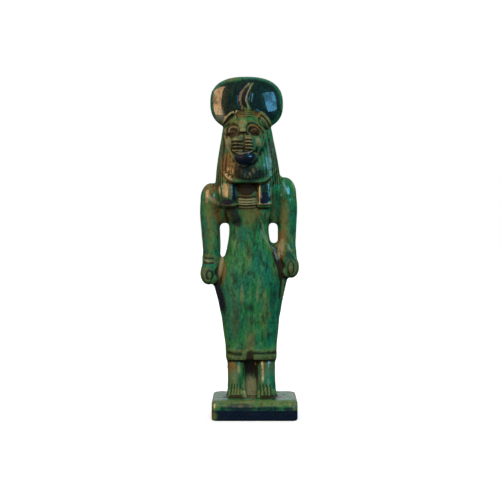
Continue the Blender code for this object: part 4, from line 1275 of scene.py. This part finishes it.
def makeFloor():
    # A wide pale disc: rings of points round its middle
    turn = np.linspace(0, 2 * math.pi, 128, endpoint=False)
    circle = np.stack([np.cos(turn), np.sin(turn), 0 * turn], -1)
    radii = np.array([0.05, 0.5, 2.0, 6.0])[:, None, None]
    points = np.vstack([(radii * circle).reshape(-1, 3), [[0, 0, 0]]])
    here = np.arange(len(points) - 1).reshape(len(radii), len(turn))
    beside = np.roll(here, -1, axis=1)
    faces = np.stack([here[:-1], here[1:], beside[1:], beside[:-1]], -1).reshape(-1, 4).tolist()
    faces += [[len(points) - 1, int(a), int(b)] for a, b in zip(here[0], beside[0])]
    floor = bpy.data.objects.new("paleFloor", meshFrom("paleFloor", points, faces))
    bpy.context.collection.objects.link(floor)
    # Pale to the camera, dim in the glaze, which mirrors a darker table
    pale = bpy.data.materials.new("palePaper")
    g = Graph(pale)
    paper = g.nodes["Principled BSDF"]
    g.feed(paper, {"Base Color": (0.86, 0.86, 0.86, 1), "Roughness": 0.9})
    g.feed(paper, {"Emission Color": (1, 1, 1, 1), "Emission Strength": studio["floorGlow"]})
    table = g.add("BsdfDiffuse", {}, {"Color": (0.05, 0.05, 0.05, 1)})
    g.show(Socket(g, paper.outputs[0]), table, "Material Output")
    floor.data.materials.append(pale)


makeFloor()


def lightFrom(name, kind, settings, aim):
    light = bpy.data.lights.new(name, kind)
    lamp = bpy.data.objects.new(name, light)
    bpy.context.collection.objects.link(lamp)
    lamp.location = settings["from"]
    lamp.rotation_euler = (Vector(aim) - lamp.location).to_track_quat("-Z", "Y").to_euler()
    light.color = settings["colour"]
    light.energy = settings["power"]
    return lamp


# Broad suns light the glaze's colour, and the panels are what its gloss mirrors
for name in ("topSun", "frontSun", "backSun", "warmSun", "coolSun"):
    lamp = lightFrom(name, "SUN", studio[name], (0, 0, 0))
    lamp.visible_glossy = False
    lamp.data.angle = math.radians(studio[name]["softness"])
for name in ("warmPanel", "bluePanel"):
    panel = studio[name]
    lamp = lightFrom(name, "AREA", panel, studio["aim"])
    lamp.visible_diffuse = False
    lamp.data.shape = "RECTANGLE"
    lamp.data.size, lamp.data.size_y = panel["size"]
    lamp.rotation_euler.rotate_axis("Z", math.radians(panel["roll"]))


def makeWorld():
    # A plain backdrop for the camera, and for the glaze a room that is darker in front than behind
    world = bpy.data.worlds.new("studio")
    bpy.context.scene.world = world
    g = Graph(world)
    direction = g.add("TexCoord", {}, {}, "Generated")
    deep = g.add("SeparateXYZ", {}, {0: direction}, "Y")
    room = g.add("MapRange", {}, {0: deep, "From Min": -0.5, "From Max": 0.6})
    tint = g.blend(room, studio["roomFront"], studio["roomBack"])
    backdrop = g.nodes["Background"]
    g.feed(backdrop, {"Color": (*studio["backdrop"], 1)})
    mirrored = g.add("Background", {}, {"Color": tint})
    g.show(Socket(g, backdrop.outputs[0]), mirrored, "World Output")


makeWorld()
bpy.context.scene.view_settings.view_transform = "Standard"

lens = bpy.data.cameras.new("camera")
eye = bpy.data.objects.new("camera", lens)
bpy.context.collection.objects.link(eye)
# It is moved aside and tipped by what the picture's middle is off the axis of sight
offAside, offDown = (middle - camera["frame"] / 2 for middle in camera["middle"])
lens.sensor_width = camera["sensor"]
lens.lens = camera["focal"] / camera["frame"] * camera["sensor"]
eye.location = (-offAside / camera["focal"] * camera["distance"], -camera["distance"], camera["height"])
eye.rotation_euler = (math.pi / 2 - math.atan(-offDown / camera["focal"]), 0, 0)
bpy.context.scene.camera = eye
print("studio: floor, lights and camera made")

bpy.context.view_layer.update()
